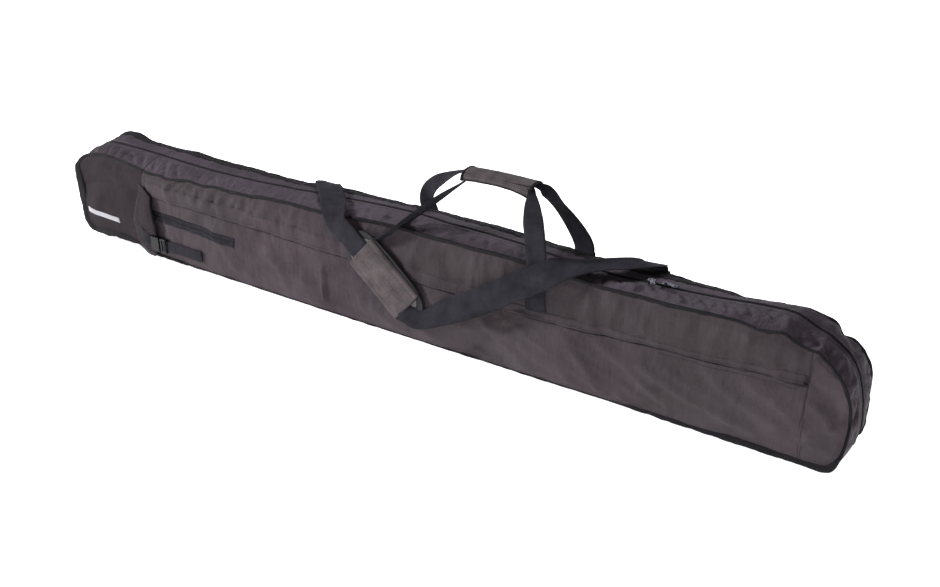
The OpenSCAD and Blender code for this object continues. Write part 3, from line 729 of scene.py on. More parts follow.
def gusset(edge_line, side, seed, amp=1.0):
    n = len(edge_line)
    A = np.stack([edge_line[:, 0], np.full(n, side * (HALF - 0.5)), edge_line[:, 1]], 1)
    B = np.stack([LZ[:, 0], np.full(n, side * 11.0), LZ[:, 1] - 1.0], 1)
    t = np.gradient((A + B) / 2, axis=0)
    t[:, 1] = 0
    t /= np.linalg.norm(t, axis=1, keepdims=True)
    up_ = np.stack([-t[:, 2], np.zeros(n), t[:, 0]], 1)
    v = np.linspace(0, 1, NG)
    G = A[:, None] * (1 - v)[None, :, None] + B[:, None] * v[None, :, None]
    L = np.cumsum(np.r_[0, np.linalg.norm(np.diff((A + B) / 2, axis=0), axis=1)])
    off = np.zeros((n, NG))
    for i in range(n):
        corner = 1.0 + (1.0 if side < 0 else 1.6) * np.clip((L[i] - L[-1] + 230) / 90, 0, 1)
        for j in range(NG):
            w = math.sin(math.pi * v[j])
            a = fbm(L[i] / 60, seed, v[j] * 1.1, 3)
            b = fbm(L[i] / 17 + v[j] * 1.1, seed + 7, v[j] * 0.5, 2)
            c = noise.noise(Vector((L[i] / 31 + v[j] * 0.9, seed + 11, v[j] * 0.4)))
            d = noise.noise(Vector((L[i] / 11 - v[j] * 1.6, seed + 21, v[j] * 0.3)))
            off[i, j] = w * (4.0 + amp * (3.2 * a + 2.6 * b * corner + 2.6 * d * (1.25 - v[j]))) - amp * 13.0 * w * corner ** 0.5 * max(0.16 - abs(c), 0) * 2.4
    G = G + up_[:, None] * off[..., None]
    return G


GF = gusset(LF, -1, 41.3, 1.0)
GB = gusset(LB, 1, 67.9, 0.42)
nG = len(LF)
ck = np.arange(nG - 1)[:, None] * np.ones((1, NG - 1), int)
sheet_obj("gusset_front", GF, 1.3, "bag", "body_fabric_light", flip=False, mask=ck >= K_SPLIT, replaces=("front_gusset",))
sheet_obj("gusset_front_end", GF, 1.3, "end_section", "body_fabric_light", flip=False, mask=ck < K_SPLIT, replaces=("end_gusset_front",))
sheet_obj("gusset_back", GB, 1.3, "bag", "body_fabric_light", flip=True, mask=ck >= K_SPLIT, replaces=("back_gusset",))
sheet_obj("gusset_back_end", GB, 1.3, "end_section", "body_fabric_light", flip=True, mask=ck < K_SPLIT, replaces=("end_gusset_back",))

# the back edge is bound with a tape folded over the gusset; along most of the bag this dark tape is made far broader
# than a binding (up to 9 of the gusset's 14 columns), so it is part real tape and part painted shade of the back edge
ctr_ = (GB[:, 0] + GB[:, -1]) / 2
tt_ = np.gradient(ctr_, axis=0)
tt_[:, 1] = 0
tt_ /= np.linalg.norm(tt_, axis=1, keepdims=True)
TB = GB[:, :11] + np.stack([-tt_[:, 2], np.zeros(nG), tt_[:, 0]], 1)[:, None] * 1.1
ct = np.arange(nG - 1)[:, None] * np.ones((1, 10), int)
cc_ = np.arange(10)[None, :] * np.ones((nG - 1, 1))
# how many gusset columns the dark tape covers along the bag: past the real binding's width this is painted shade
wide = np.interp(np.arange(nG - 1), [0, 44, 110, 150, 330, 372, 392, nG], [5, 6, 7, 9, 9, 8, 2, 2])[:, None]
tape_and_shade_cols = cc_ < wide
sheet_obj("back_tape_and_painted_shade", TB, 1.0, "bag", "binding", flip=True, mask=(ct >= K_SPLIT) & tape_and_shade_cols)
sheet_obj("binding_back_tape_end", TB, 1.0, "end_section", "binding", flip=True, mask=(ct < K_SPLIT) & tape_and_shade_cols)

# end cap: the left end between the two faces, up to the start of the zip
ncap = 34
capF = resample(F_LEFT, ncap)
capB = resample(B_LEFT, ncap)
v = np.linspace(0, 1, 17)
CAP = np.zeros((ncap, 17, 3))
for i in range(ncap):
    for j in range(17):
        p = capF[i] * (1 - v[j]) + capB[i] * v[j]
        w = math.sin(math.pi * v[j])
        topw = np.clip((i / (ncap - 1) - 0.6) / 0.4, 0, 1)
        lift = (LZ[0, 1] - (capF[i, 1] * (1 - v[j]) + capB[i, 1] * v[j])) * w * topw ** 2 if i == ncap - 1 else 0
        d = 7 * w * (1 - topw ** 3) + 1.6 * w * fbm(v[j] * 2.2, 81.0, i / 9, 3)
        CAP[i, j] = (p[0] - d, -HALF + 2 * HALF * v[j], p[1] + lift)
topZ = (LZ[0, 1] - (capF[-1, 1] + capB[-1, 1]) / 2)
for i in range(ncap - 8, ncap):
    f = (i - (ncap - 9)) / 8
    for j in range(17):
        base = capF[i, 1] * (1 - v[j]) + capB[i, 1] * v[j]
        CAP[i, j, 2] = base + topZ * math.sin(math.pi * v[j]) * f * 1.0
sheet_obj("cap_end", CAP, 1.3, "end_section", "body_fabric_light", flip=False, replaces=("end_cap",))

# bottom gusset, in two pieces, from the right end's lower part to the left end
nb = 240
botF = resample(F_BOT, nb)
botB = resample(B_BOT, nb)
BOT = np.zeros((nb, 13, 3))
vb = np.linspace(0, 1, 13)
for i in range(nb):
    for j in range(13):
        p = botF[i] * (1 - vb[j]) + botB[i] * vb[j]
        w = math.sin(math.pi * vb[j])
        z = p[1]
        endf = np.clip((p[0] - 845) / 25, 0, 1)
        z = z - min(w * 1.5, 1) * max(z - 1.2, 0) * (1 - endf) * (1.0 if p[1] < 34 else 0.0)
        BOT[i, j] = (p[0] + 4 * w * endf, -HALF + 2 * HALF * vb[j], max(z, 0.4) + 0.25 * w * fbm(p[0] / 50, 91, vb[j] * 3, 2))
kb = np.arange(nb - 1)[:, None] * np.ones((1, 12), int)
botmain = BOT[:-1, :-1, 0] > SPLIT
sheet_obj("bottom_main", BOT, 1.3, "bag", "body_fabric_light", flip=False, mask=botmain, replaces=("bottom_gusset",))
sheet_obj("bottom_end", BOT, 1.3, "end_section", "body_fabric_light", flip=False, mask=~botmain)

# ---- bindings ---------------------------------------------------------------------


def loop_curve(top, right, bot, left):
    c = np.concatenate([left[:-1], top[:-1], right[:-1], bot])
    return resample_long(c, 3.2)


def resample_long(c, step):
    d = np.r_[0, np.cumsum(np.linalg.norm(np.diff(c, axis=0), axis=1))]
    s = np.arange(0, d[-1], 1.0)
    f = np.stack([np.interp(s, d, c[:, k]) for k in (0, 1)], 1)
    k = np.exp(-0.5 * (np.arange(-8, 9) / 3.0) ** 2)
    k /= k.sum()
    pad = np.concatenate([f[-8:], f, f[:8]])
    g = np.stack([np.convolve(pad[:, i], k, "valid") for i in (0, 1)], 1)
    n = int(len(g) / step)
    i = np.linspace(0, len(g) - 1, n)
    return np.stack([np.interp(i, np.arange(len(g)), g[:, k]) for k in (0, 1)], 1)


def binding(name_main, name_end, top, right, bot, left, side, rep_main, rep_end, seed):
    c = loop_curve(top, right, bot, left)
    n = len(c)
    C = np.stack([c[:, 0], np.full(n, side * (HALF + 0.4)), c[:, 1]], 1)
    t = np.roll(C, -1, 0) - np.roll(C, 1, 0)
    t /= np.linalg.norm(t, axis=1, keepdims=True)
    outw = np.stack([-t[:, 2], np.zeros(n), t[:, 0]], 1)
    yv = np.repeat([[0.0, float(side), 0.0]], n, 0)
    L = np.cumsum(np.r_[0, np.linalg.norm(np.diff(C, axis=0), axis=1)])
    scale = np.ones((n, 2))
    for i in range(n):
        a = noise.noise(Vector((L[i] / 24, seed, 0.3)))
        b = noise.noise(Vector((L[i] / 55, seed + 5, 0.9)))
        thick = 1.0 + 0.35 * float(np.clip((C[i, 0] - 500) / 300, 0, 1)) * float(np.clip((60 - C[i, 2]) / 40, 0, 1)) + 1.3 * float(np.clip((-700 - C[i, 0]) / 60, 0, 1)) * float(np.clip((196 - C[i, 2]) / 30, 0, 1))
        thick *= 1.1 if C[i, 0] > 845 and C[i, 2] < 60 else 1.0
        thick *= 1 - 0.26 * float(np.clip((C[i, 0] - 560) / 120, 0, 1)) * float(np.clip((C[i, 2] - 50) / 30, 0, 1))
        c3 = noise.noise(Vector((L[i] / 11, seed + 9, 0.1)))
        thick *= 1 - 0.4 * float(np.clip((14 - C[i, 2]) / 6, 0, 1)) * float(np.clip((560 - abs(C[i, 0])) / 80, 0, 1))
        scale[i] = (thick * (1 + 0.22 * a + 0.2 * c3), thick ** 0.5 * (1 + 0.2 * b))
        C[i, 1] += side * 0.9 * a
        C[i] -= outw[i] * (thick - 1) * 3.6
        C[i, 1] += side * (thick - 1) * 2.6
        tilt = 0.35 + 0.35 * b
        o, y = outw[i].copy(), yv[i].copy()
        outw[i] = o * math.cos(tilt) + y * math.sin(tilt)
        yv[i] = y * math.cos(tilt) - o * math.sin(tilt)
    C = C - outw * 1.6
    sec = oval(8.4, 4.8, 14, 3.2)
    end = C[:, 0] < SPLIT
    # the loop starts at the lower left; cut it where it crosses the pleat
    idx = np.arange(n)
    ks = np.where(end[:-1] != end[1:])[0]
    a, b = ks[0], ks[1]
    main = idx[a + 1:b + 2]
    endi = np.concatenate([idx[b + 1:], idx[:a + 2]])
    sweep_obj(name_main, C[main], outw[main], yv[main], sec, "bag", "binding", rep_main, scale[main])
    sweep_obj(name_end, C[endi], outw[endi], yv[endi], sec, "end_section", "binding", rep_end, scale[endi])
    st = C - outw * 2.9 + yv * 2.25
    stitches(name_main + "_stitch", st[main], yv[main], "bag", "binding", 4.2, 2.6, 0.3, M["binding"])
    return C, outw


binding("binding_front", "binding_front_end", F_TOP, F_RIGHT, F_BOT, F_LEFT, -1, ("front_binding",), ("end_binding_front",), 11.0)
binding("binding_back", "binding_back_end", B_TOP, B_RIGHT, B_BOT, B_LEFT, 1, ("back_binding",), ("end_binding_back",), 17.0)

# ---- main zip -------------------------------------------------------------------------
nz = len(LZ)
tz = np.gradient(LZ, axis=0)
tz /= np.linalg.norm(tz, axis=1, keepdims=True)
upz = np.stack([-tz[:, 1], np.zeros(nz), tz[:, 0]], 1)


def zip_half(side, ks, body, name, rep):
    C = np.stack([LZ[ks, 0], np.zeros(len(ks)), LZ[ks, 1]], 1)
    u = upz[ks]
    y = np.linspace(2.4, 12.6, 6)
    lift = np.array([0.0, 0.5, 0.6, 0.2, -0.4, -1.2])
    G = C[:, None] + np.array([0, 1, 0])[None, None] * (side * y)[None, :, None] + u[:, None] * (lift - 0.1)[None, :, None]
    sheet_obj(name + "_tape", G, 0.8, body, "zip_tape", flip=side < 0, mat=M["body_fabric_light"], replaces=rep)
    # coil: a bead that swells and shrinks once a tooth
    d = np.r_[0, np.cumsum(np.linalg.norm(np.diff(C, axis=0), axis=1))]
    s = np.arange(0, d[-1], 1.0)
    Cc = np.stack([np.interp(s, d, C[:, k]) for k in range(3)], 1)
    uu = np.stack([np.interp(s, d, u[:, k]) for k in range(3)], 1)
    uu /= np.linalg.norm(uu, axis=1, keepdims=True)
    Cc = Cc + uu * 0.7 + np.array([0, side * 1.5, 0])
    sc = np.ones((len(s), 2))
    sc[:, 0] = 1 + 0.16 * np.sign(np.sin(s * math.pi / 2 + 0.5))
    sc[:, 1] = 1 + 0.22 * np.sign(np.sin(s * math.pi / 2 + 0.5))
    sweep_obj(name + "_coil", Cc, np.repeat([[0.0, 1.0, 0.0]], len(s), 0), uu, oval(2.2, 1.7, 8, 2.2), body, "zip_tape", (), sc)


km = np.arange(K_SPLIT, nz)
ke = np.arange(0, K_SPLIT + 1)
zip_half(-1, km, "bag", "zip_front", ("zip_tape_front",))
zip_half(1, km, "bag", "zip_back", ("zip_tape_back",))
zip_half(-1, ke, "end_section", "zip_end_front", ("end_zip_tapes",))
zip_half(1, ke, "end_section", "zip_end_back", ())

# ---- points on the front face ---------------------------------------------------------
FP = P_FRONT.reshape(-1, 3)
FN = -grid_normals(P_FRONT).reshape(-1, 3)
FN = np.where(FN[:, 1:2] > 0, -FN, FN)


def on_front(x, z, lift=0.0):
    """Point of the front cloth at (x, z), raised by lift along the surface."""
    d = (FP[:, 0] - x) ** 2 + (FP[:, 2] - z) ** 2
    i = np.argpartition(d, 4)[:4]
    w = 1 / (d[i] + 0.5)
    w /= w.sum()
    y = float((FP[i, 1] * w).sum())
    n = (FN[i] * w[:, None]).sum(0)
    n /= np.linalg.norm(n)
    return np.array([x, y, z]) + n * lift


def patch_grid(rows, lift):
    """rows: nk x nr x 2 (x, z) on the front face to a grid of raised points."""
    out = np.zeros((rows.shape[0], rows.shape[1], 3))
    for i in range(rows.shape[0]):
        for j in range(rows.shape[1]):
            l = lift[j] if hasattr(lift, "__len__") else lift
            out[i, j] = on_front(rows[i, j, 0], rows[i, j, 1], l)
    return out


def seam(name, pts, body, lift=0.35, pitch=3.4, mat=None, slot="body_fabric", r=0.35):
    q = np.array([on_front(x, z, lift) for x, z in pts])
    return stitches(name, q, np.array([0.0, -1, 0]), body, slot, pitch, 2.7, r * 1.35, mat or M["thread_dark"])


# flap over the long pocket's zip: a band that hangs from its upper stitching, slightly puckered
fx = np.arange(-650, 804, 4.0)
zl = pocket_z(fx)
band_h = np.interp(fx, [-650, -580, -432, -112, 101, 150, 264, 330, 452, 540, 560, 748, 764, 804], [33, 34, 33, 32, 25, 22, 17, 15, 14, 8, 7, 7, 13, 13])
fr = np.array([-0.12, -0.06, 0.12, 0.36, 0.62, 0.86, 1.0])
rows = np.stack([np.repeat(fx[:, None], len(fr), 1), zl[:, None] - 2.6 + (band_h[:, None] + 2.6) * (fr[None, :] + 0.12) / 1.12], -1)
flap = patch_grid(rows, [3.4, 3.7, 3.2, 2.2, 1.3, 0.6, 0.1])
flap[..., 1] -= (2.6 * np.exp(-((fx - 779) / 24) ** 4))[:, None] * np.array([0.9, 1.0, 1.0, 1.0, 0.9, 0.5, 0.0])
for i in range(len(fx)):
    for j in range(len(fr)):
        a = (1 - j / 7.0)
        flap[i, j, 1] -= 0.9 * a * noise.noise(Vector((fx[i] / 17, 3.3, j * 0.2))) + 0.5 * a
        flap[i, j, 2] += 0.9 * noise.noise(Vector((fx[i] / 60, 8.8, 0.4))) * a
sheet_obj("flap", flap, 1.1, "bag", "body_fabric", flip=False, replaces=("pocket_flap", "pocket_zip"))
stitches("flap_stitch_low", flap[:, 2] + [0, -0.2, 0], np.array([0.0, -1, 0]), "bag", "body_fabric", 3.4, 2.4, 0.32, M["thread_dark"])
stitches("flap_stitch_top", flap[:298, 5] + [0, -0.15, 0], np.array([0.0, -1, 0]), "bag", "body_fabric", 3.4, 2.4, 0.32, M["thread_dark"])
# the coil shows as a thin dark bead in the slot under the flap
cx_ = np.arange(-650, 802, 1.2)
cp = np.array([on_front(x, z, 0.5) for x, z in zip(cx_[::6], (pocket_z(cx_) - 3.4)[::6])])
cpl = np.stack([np.interp(cx_, cx_[::6], cp[:, k]) for k in range(3)], 1)
scc = np.ones((len(cx_), 2)) * (1 + 0.2 * np.sign(np.sin(cx_ * 2.1)))[:, None]
sweep_obj("pocket_coil", cpl, np.repeat([[0.0, 0.0, 1.0]], len(cx_), 0), np.repeat([[0.0, -1.0, 0.0]], len(cx_), 0), oval(3.4, 1.7, 8, 2.2), "bag", "zip_tape", (), scc)

# stitched seams of the panels
seam("low_line", [(x, pocket_z(x) - 11.5) for x in np.arange(560, 800, 5.0)], "bag", pitch=3.6)
seam("tip_seam_a", [(809 + 1.5 * math.sin(z / 30), z) for z in np.arange(8, 200, 4)], "bag", pitch=3.6)
seam("pleat_seam", [(-648 + 0.06 * (150 - z), z) for z in np.arange(152, 190, 4)], "bag", pitch=3.6)
# ---- small zip of the accessory pocket ----------------------------------------------
ax = np.arange(-648, -391, 3.0)
az_ = 106.0 + (ax + 648) * (97.0 - 106.0) / 256
vv = np.array([-10.5, -9, -4, -1.6, 1.6, 4, 9, 10.5])
rows = np.stack([np.repeat(ax[:, None], 8, 1), az_[:, None] + vv], -1)
tape = patch_grid(rows, [0.2, 0.9, 1.0, 1.0, 1.0, 1.0, 0.9, 0.2])
sheet_obj("accessory_tape", tape, 0.9, "bag", "zip_tape", flip=False, mat=M["webbing"], replaces=("accessory_zip",))
ac = np.array([on_front(x, z, 1.2) for x, z in zip(ax, az_)])
s_ = np.arange(-648, -393, 1.1)
ac2 = np.stack([np.interp(s_, ax, ac[:, k]) for k in range(3)], 1)
sc2 = np.ones((len(s_), 2)) * (1 + 0.22 * np.sign(np.sin(s_ * 2.3)))[:, None]
sweep_obj("accessory_coil", ac2, np.repeat([[0.0, 0.0, 1.0]], len(s_), 0), np.repeat([[0.0, -1.0, 0.0]], len(s_), 0), oval(3.0, 1.6, 8, 2.2), "bag", "zip_tape", (), sc2)
for k, v_ in enumerate((-8.3, 8.3)):
    seam("accessory_stitch_%d" % k, list(zip(ax[::2], (az_ + v_)[::2])), "bag", 1.2, 3.2, slot="zip_tape")
seam("accessory_stitch_2", [(-396.5, z) for z in np.arange(88, 106, 2.0)], "bag", 1.2, 3.2, slot="zip_tape")

# ---- plain pale reflective tape on the end section ------------------------------------
RX0 = mm("reflective_strip")[0][0]
rx = np.arange(RX0, RX0 + 106, 3.0)
rz = (mm("reflective_strip")[0][2] + mm("reflective_strip")[1][2]) / 2 + 5.5 * (rx - RX0) / 101 * -1
rv = np.array([-6, -5, 0, 5, 6.0])
rows = np.stack([np.repeat(rx[:, None], 5, 1), (rz[:, None] + 3) + rv], -1)
refl = patch_grid(rows, [0.15, 0.7, 0.75, 0.7, 0.15])
sheet_obj("reflective_tape", refl, 0.6, "end_section", "reflective", flip=False, replaces=("reflective_strip",))

# ---- pleat: a fold of the end section's cloth that lies over the bag --------------------
zp_ = np.linspace(5, 171, 60)
xl_ = np.interp(zp_, [5, 12, 25, 50, 80, 100, 120, 140, 155, 171], [-684, -693, -699, -701, -701, -698, -692, -685, -680, -675])
xr_ = np.interp(zp_, [5, 12, 30, 49, 69, 96, 125, 145, 160, 171], [-652, -640, -632, -628, -623, -627, -634, -640, -650, -664])
xr_ = xr_ + 1.2 * np.sin(zp_ / 11)
npf = 19
PL = np.zeros((60, npf, 3))
for i in range(60):
    base = on_front(xl_[i], zp_[i])[1]
    under = on_front(xr_[i] - 10, zp_[i])[1]
    f = min(1.0, (171 - zp_[i]) / 42) ** 0.8 * min(1.0, 0.4 + zp_[i] / 30)
    outy = under - 11.5 * f - 0.8
    near = math.exp(-((zp_[i] - 46) / 20) ** 4)
    outy = outy * (1 - near) + max(outy, -71.0) * near
    for j in range(npf):
        if j < 13:
            u = j / 12
            x = xl_[i] + (xr_[i] - xl_[i]) * u
            w = 1 - (1 - min(u * 1.25, 1)) ** 2
            y = base - 0.5 + (outy - base) * w
            y -= 1.6 * f * math.exp(-((u - 0.12) / 0.09) ** 2)
            y += 1.2 * noise.noise(Vector((u * 1.6, zp_[i] / 30, 5.1))) * math.sin(math.pi * u)
        else:
            a = (j - 12) / 6
            x = xr_[i] - 15 * a ** 1.3 + 1.3 * math.sin(math.pi * min(a * 3, 1))
            y = outy + 3.4 * min(a * 2.2, 1) + 1.5 * a
        PL[i, j] = (x, y, zp_[i])
sheet_obj("pleat", PL, 1.2, "end_section", "end_fabric", flip=True, replaces=("pleat_fold",))
# rounded hem along the pleat's free edge, in black binding cloth, made thick and set a little behind the edge so it
# also serves as painted shadow in the gap under the pleat's rim
hem = np.array([[PL[i, 12, 0] + 0.6, PL[i, 12, 1] + 1.4, zp_[i]] for i in range(60)])
sweep_obj("pleat_hem_and_shadow", hem, np.repeat([[1.0, 0.0, 0.0]], 60, 0), np.repeat([[0.0, 1.0, 0.0]], 60, 0), oval(3.6, 6.4, 10, 2.2), "end_section", "binding")

# cloth bellows that show once the pleat is let out
sx = np.linspace(-828, -657, 90)
cc = []
hh, ww_ = 207.0, 106.0
ring = []
for k in range(56):
    t_ = k / 56 * 4
    s4 = int(t_)
    f_ = t_ - s4
    p_ = [(-53 + 106 * f_, 4), (53, 4 + 207 * f_), (53 - 106 * f_, 211), (-53, 211 - 207 * f_)][s4]
    ring.append(p_)
ring = np.array(ring)
SV = []
for i, x in enumerate(sx):
    for k in range(56):
        y, z = ring[k]
        a = 0.6 * noise.noise(Vector((x / 22, k * 0.35, 2.2))) + 0.35 * math.sin(x / 5.5)
        lowz = 34 - 25 * max(0.0, min(1.0, (x + 700) / 42))
        zc_ = lowz + (z - 4) / 207 * (203 - lowz)
        SV.append((x, y * (1 - 0.012 * (1 + a)), 112 + (zc_ - 112) * (1 - 0.010 * (1 + a))))
SV = np.array(SV)
V2 = np.concatenate([SV, np.stack([SV[:, 0], SV[:, 1] * 0.975, 112 + (SV[:, 2] - 112) * 0.985], 1)])
NS = len(SV)
SF = []
for i in range(89):
    for k in range(56):
        b_ = (k + 1) % 56
        a0, a1, a2, a3 = i * 56 + k, i * 56 + b_, (i + 1) * 56 + b_, (i + 1) * 56 + k
        SF.append((a0, a1, a2, a3))
        SF.append((a3 + NS, a2 + NS, a1 + NS, a0 + NS))
for k in range(56):
    b_ = (k + 1) % 56
    SF.append((b_, k, k + NS, b_ + NS))
    o_ = 89 * 56
    SF.append((o_ + k, o_ + b_, o_ + b_ + NS, o_ + k + NS))
finish_mesh("bellows", V2, [f[::-1] for f in SF], "bag", "lining", None, np.zeros((len(V2), 2)), True, ("extension_sleeve",))

# ---- cinch strap ------------------------------------------------------------------------


def on_pleat(x, z, lift=1.6):
    d = (PL[:, :13, 0] - x) ** 2 + (PL[:, :13, 2] - z) ** 2
    i, j = np.unravel_index(np.argmin(d), d.shape)
    return PL[i, j, 1] - lift


cl = [(x, min(on_pleat(x, z), on_pleat(x, z + 9), on_pleat(x, z - 9)), z) for x, z in ((-673, 62), (-664, 59), (-655, 54))]
strap_obj("cinch_left", cl + [(-646, -73.6, 46.5), (-641.5, -73.6, 44.5)], [(0.12, 0, 1)] * 5, 26, 1.8, "end_section", step=2, across=7, wav=0.2, seed=1, replaces=("cinch_webbing_end",))
cr = []
for x, z in ((-572, 45), (-560, 44.5), (-545, 44), (-528, 43.5), (-510, 43), (-494, 42.5)):
    cr.append((x, min(on_front(x, z, 2.2)[1], on_front(x, z + 10, 2.0)[1], on_front(x, z - 10, 2.0)[1]), z))
strap_obj("cinch_right", [(-596.5, -74.6, 44.5), (-585, -75.0, 45)] + cr, [(0.05, 0, 1)] * 2 + [(0.12, 0, 1)] * 6, 25, 1.8, "bag", step=2.5, across=7, wav=0.3, seed=2, replaces=("cinch_webbing",))
e_ = cr[-1]
strap_obj("cinch_hem", [(e_[0] - 10, e_[1] - 1.6, e_[2]), (e_[0] - 5, e_[1] - 1.7, e_[2]), (e_[0] + 0.5, e_[1] - 1.4, e_[2])], [(0.12, 0, 1)] * 3, 25.4, 1.6, "bag", step=1.5, across=7, wav=0, seed=2, mat=M["binding"])
stitches("cinch_stitch", [(e_[0] - 11.5, e_[1] - 1.1, 32), (e_[0] - 9.5, e_[1] - 1.1, 54)], np.array([0.0, -1, 0]), "bag", "webbing", 2.6, 1.8, 0.35)

# ---- shoulder strap ------------------------------------------------------------------------
pa = math.radians(40.8)
PD = np.array([math.cos(pa), 0, -math.sin(pa)])
PN = np.array([math.sin(pa), 0, math.cos(pa)])
PB = mm("pad_base")
PC = np.array([(PB[0][0] + PB[1][0]) / 2, PB[0][1] - 1.4, (PB[0][2] + PB[1][2]) / 2])
fy = 61.5
SA = [[-230, fy, 224.2], [-230, 50, 228], [-212, 30, 233.5], [-180, 0, 236.5], [-146, -34, 235.0], [-120, -62, 228], [-106, -74, 213], [-90, -77.5, 200],
      PC - 112 * PD, PC - 60 * PD, PC, PC + 60 * PD, PC + 78 * PD + [0, -1.5, 0], [80, -82.5, 67.5], [98, -85, 68.5], [118, -86.5, 77], [140, -87, 90.5], [168, -87, 107], [204, -86.5, 127], [240, -86, 149], [284, -84, 177.5],
      [318, -81, 198], [346, -77, 216], [368, -69.5, 229], [392, -52, 235], [420, -24, 235.5], [446, 4, 234.2], [470, 30, 231.8], [488, 50, 227.6], [488, fy, 224.2]]
WA = [[1, 0, 0], [1, 0, 0], [1, 0.4, 0], [1, 1, 0], [1, 0.9, 0.1], [1, 0.45, 0.5], [1, 0.1, 0.8], [0.8, 0, 0.9], PN, PN, PN, PN, [0.55, 0.3, 0.8], [0.36, 0.5, 0.8], [0.12, 0.62, 0.77], [-0.12, 0.62, 0.77], [-0.28, 0.52, 0.8],
      [-0.38, 0.38, 0.83], [-0.45, 0.28, 0.85], [-0.5, 0.2, 0.8], [-0.5, 0.2, 0.8], [-0.5, 0.25, 0.8], [-0.5, 0.35, 0.75], [-0.55, 0.55, 0.55], [-0.7, 0.7, 0.2], [-0.75, 0.7, 0], [-0.8, 0.7, 0], [-0.9, 0.5, 0], [-1, 0, 0], [-1, 0, 0]]
WS = [50] * 12 + [48, 45, 43, 44, 47] + [50] * 13
strap_obj("strap_a", SA, WA, 50, 1.9, "shoulder_strap", step=4, across=13, cup=0.6, wav=0.9, seed=3, replaces=("shoulder_strap",), width=WS)
# tails behind the bag, looped through the hooks
for tag in ("left", "right"):
    tx = (mm("strap_end_" + tag)[0][0] + mm("strap_end_" + tag)[1][0]) / 2
    strap_obj("tail_" + tag, [[tx, 62.6, 223.0], [tx, 65.4, 219.5], [tx, 68.0, 213], [tx, 70.5, 204], [tx, 72.2, 193], [tx, 72.6, 186.5], [tx, 74.2, 183], [tx, 77, 181.8], [tx, 79.8, 183], [tx, 81.6, 186.5], [tx, 81.2, 193],
                               [tx, 78.0, 203], [tx, 75.6, 209]], [[1, 0, 0]] * 13, 50, 1.8, "bag", step=2, across=9, wav=0.0, seed=6, replaces=("strap_end_" + tag,))
    for row in (197.5, 206.0):
        y_ = np.interp(row, [193, 203, 209], [81.2, 78.0, 75.6]) + 1.4
        stitches("tail_%s_stitch_%d" % (tag, row), [(tx - 21, y_, row), (tx + 21, y_, row)], np.array([0.0, 1, 0.3]), "bag", "webbing", 3.4, 2.4, 0.38)
    # tab that holds the ring
    tb = [[tx, 62.4, 63], [tx, 62.6, 80], [tx, 63.0, 100], [tx, 63.4, 112], [tx, 63.2, 120], [tx, 64.6, 124.2], [tx, 67.6, 124.0], [tx, 69.4, 120], [tx, 68.4, 113], [tx, 65.6, 106], [tx, 65.0, 90], [tx, 64.8, 64]]
    strap_obj("tab_" + tag, tb, [[1, 0, 0]] * 12, 44, 1.6, "bag", step=2, across=9, wav=0.0, seed=8, replaces=("ring_tabs",) if tag == "left" else ())
    for a_, b_ in (((tx - 19, 67), (tx + 19, 67)), ((tx + 19, 67), (tx + 19, 98)), ((tx + 19, 98), (tx - 19, 98)), ((tx - 19, 98), (tx - 19, 67)), ((tx - 19, 67), (tx + 19, 98))):
        stitches("tab_%s_st_%d_%d_%d" % (tag, int(a_[0] + 900), int(a_[1]), int(b_[0] + 900)), [(a_[0], 66.1, a_[1]), (b_[0], 66.1, b_[1])], np.array([0.0, 1, 0]), "bag", "webbing", 3.4, 2.4, 0.38)

# ---- shoulder pad -----------------------------------------------------------------------------
NRM = np.array([0.0, -1.0, 0.0])


def pad_pt(u, v_, h):
    return PC + PD * u + PN * v_ + NRM * h


def pad_outline(L, W, r, n=96):
    out = []
    for k in range(n):
        a = 2 * math.pi * k / n
        c, s = math.cos(a), math.sin(a)
        p_ = 3.4
        q = (abs(c / (L / 2)) ** p_ + abs(s / (W / 2)) ** p_) ** (-1 / p_)
        out.append((c * q, s * q))
    return np.array(out)


def cushion(name, L, W, prof, bottom, body, slot, mat=None, replaces=(), wob=0.0, seed=0.0):
    """prof: list of (fraction of the way to the edge, height) from the middle out."""
    o = pad_outline(L, W, 30)
    n = len(o)
    rings = [(f, h) for f, h in prof] + [(f, h) for f, h in bottom]
    V, F = [], []
    for f, h in rings:
        for k in range(n):
            u, v_ = o[k] * f
            if abs(v_) < 28 and abs(u) > 78:
                h = min(h, -2.2)
            hh_ = h + wob * noise.noise(Vector((u / 30, v_ / 30, seed)))
            V.append(pad_pt(u, v_, hh_))
    m = len(rings)
    for i in range(m - 1):
        for k in range(n):
            c = (k + 1) % n
            F.append((i * n + k, i * n + c, (i + 1) * n + c, (i + 1) * n + k))
    V.append(pad_pt(0, 0, prof[0][1]))
    V.append(pad_pt(0, 0, bottom[-1][1]))
    for k in range(n):
        c = (k + 1) % n
        F.append((len(V) - 2, c, k))
        F.append((len(V) - 1, (m - 1) * n + k, (m - 1) * n + c))
    F = [f[::-1] for f in F]
    uv = np.zeros((len(V), 2))
    ob = finish_mesh(name, np.array(V), F, body, slot, mat, uv, True, replaces)
    return ob


cushion("pad_body", 200, 95, [(0.3, -3.0), (0.6, -3.0), (0.8, -2.8), (0.86, -2.0), (0.90, 0.4), (0.935, 2.0), (0.965, 1.9), (0.99, 0.2), (1.0, -2.0)], [(0.998, -5.0), (0.97, -7.6), (0.9, -8.4), (0.5, -8.2), (0.2, -8.2)],
        "shoulder_pad", "pad_rubber", replaces=("pad_base",), wob=0.5, seed=3.0)
cushion("pad_inlay", 172, 78, [(0.3, -1.6), (0.7, -1.4), (0.9, -1.2), (0.97, -1.8), (1.0, -2.6)], [(0.98, -3.4), (0.5, -3.4), (0.2, -3.4)], "shoulder_pad", "pad_rubber", mat=M["pad_grey"], wob=0.4, seed=5.0)
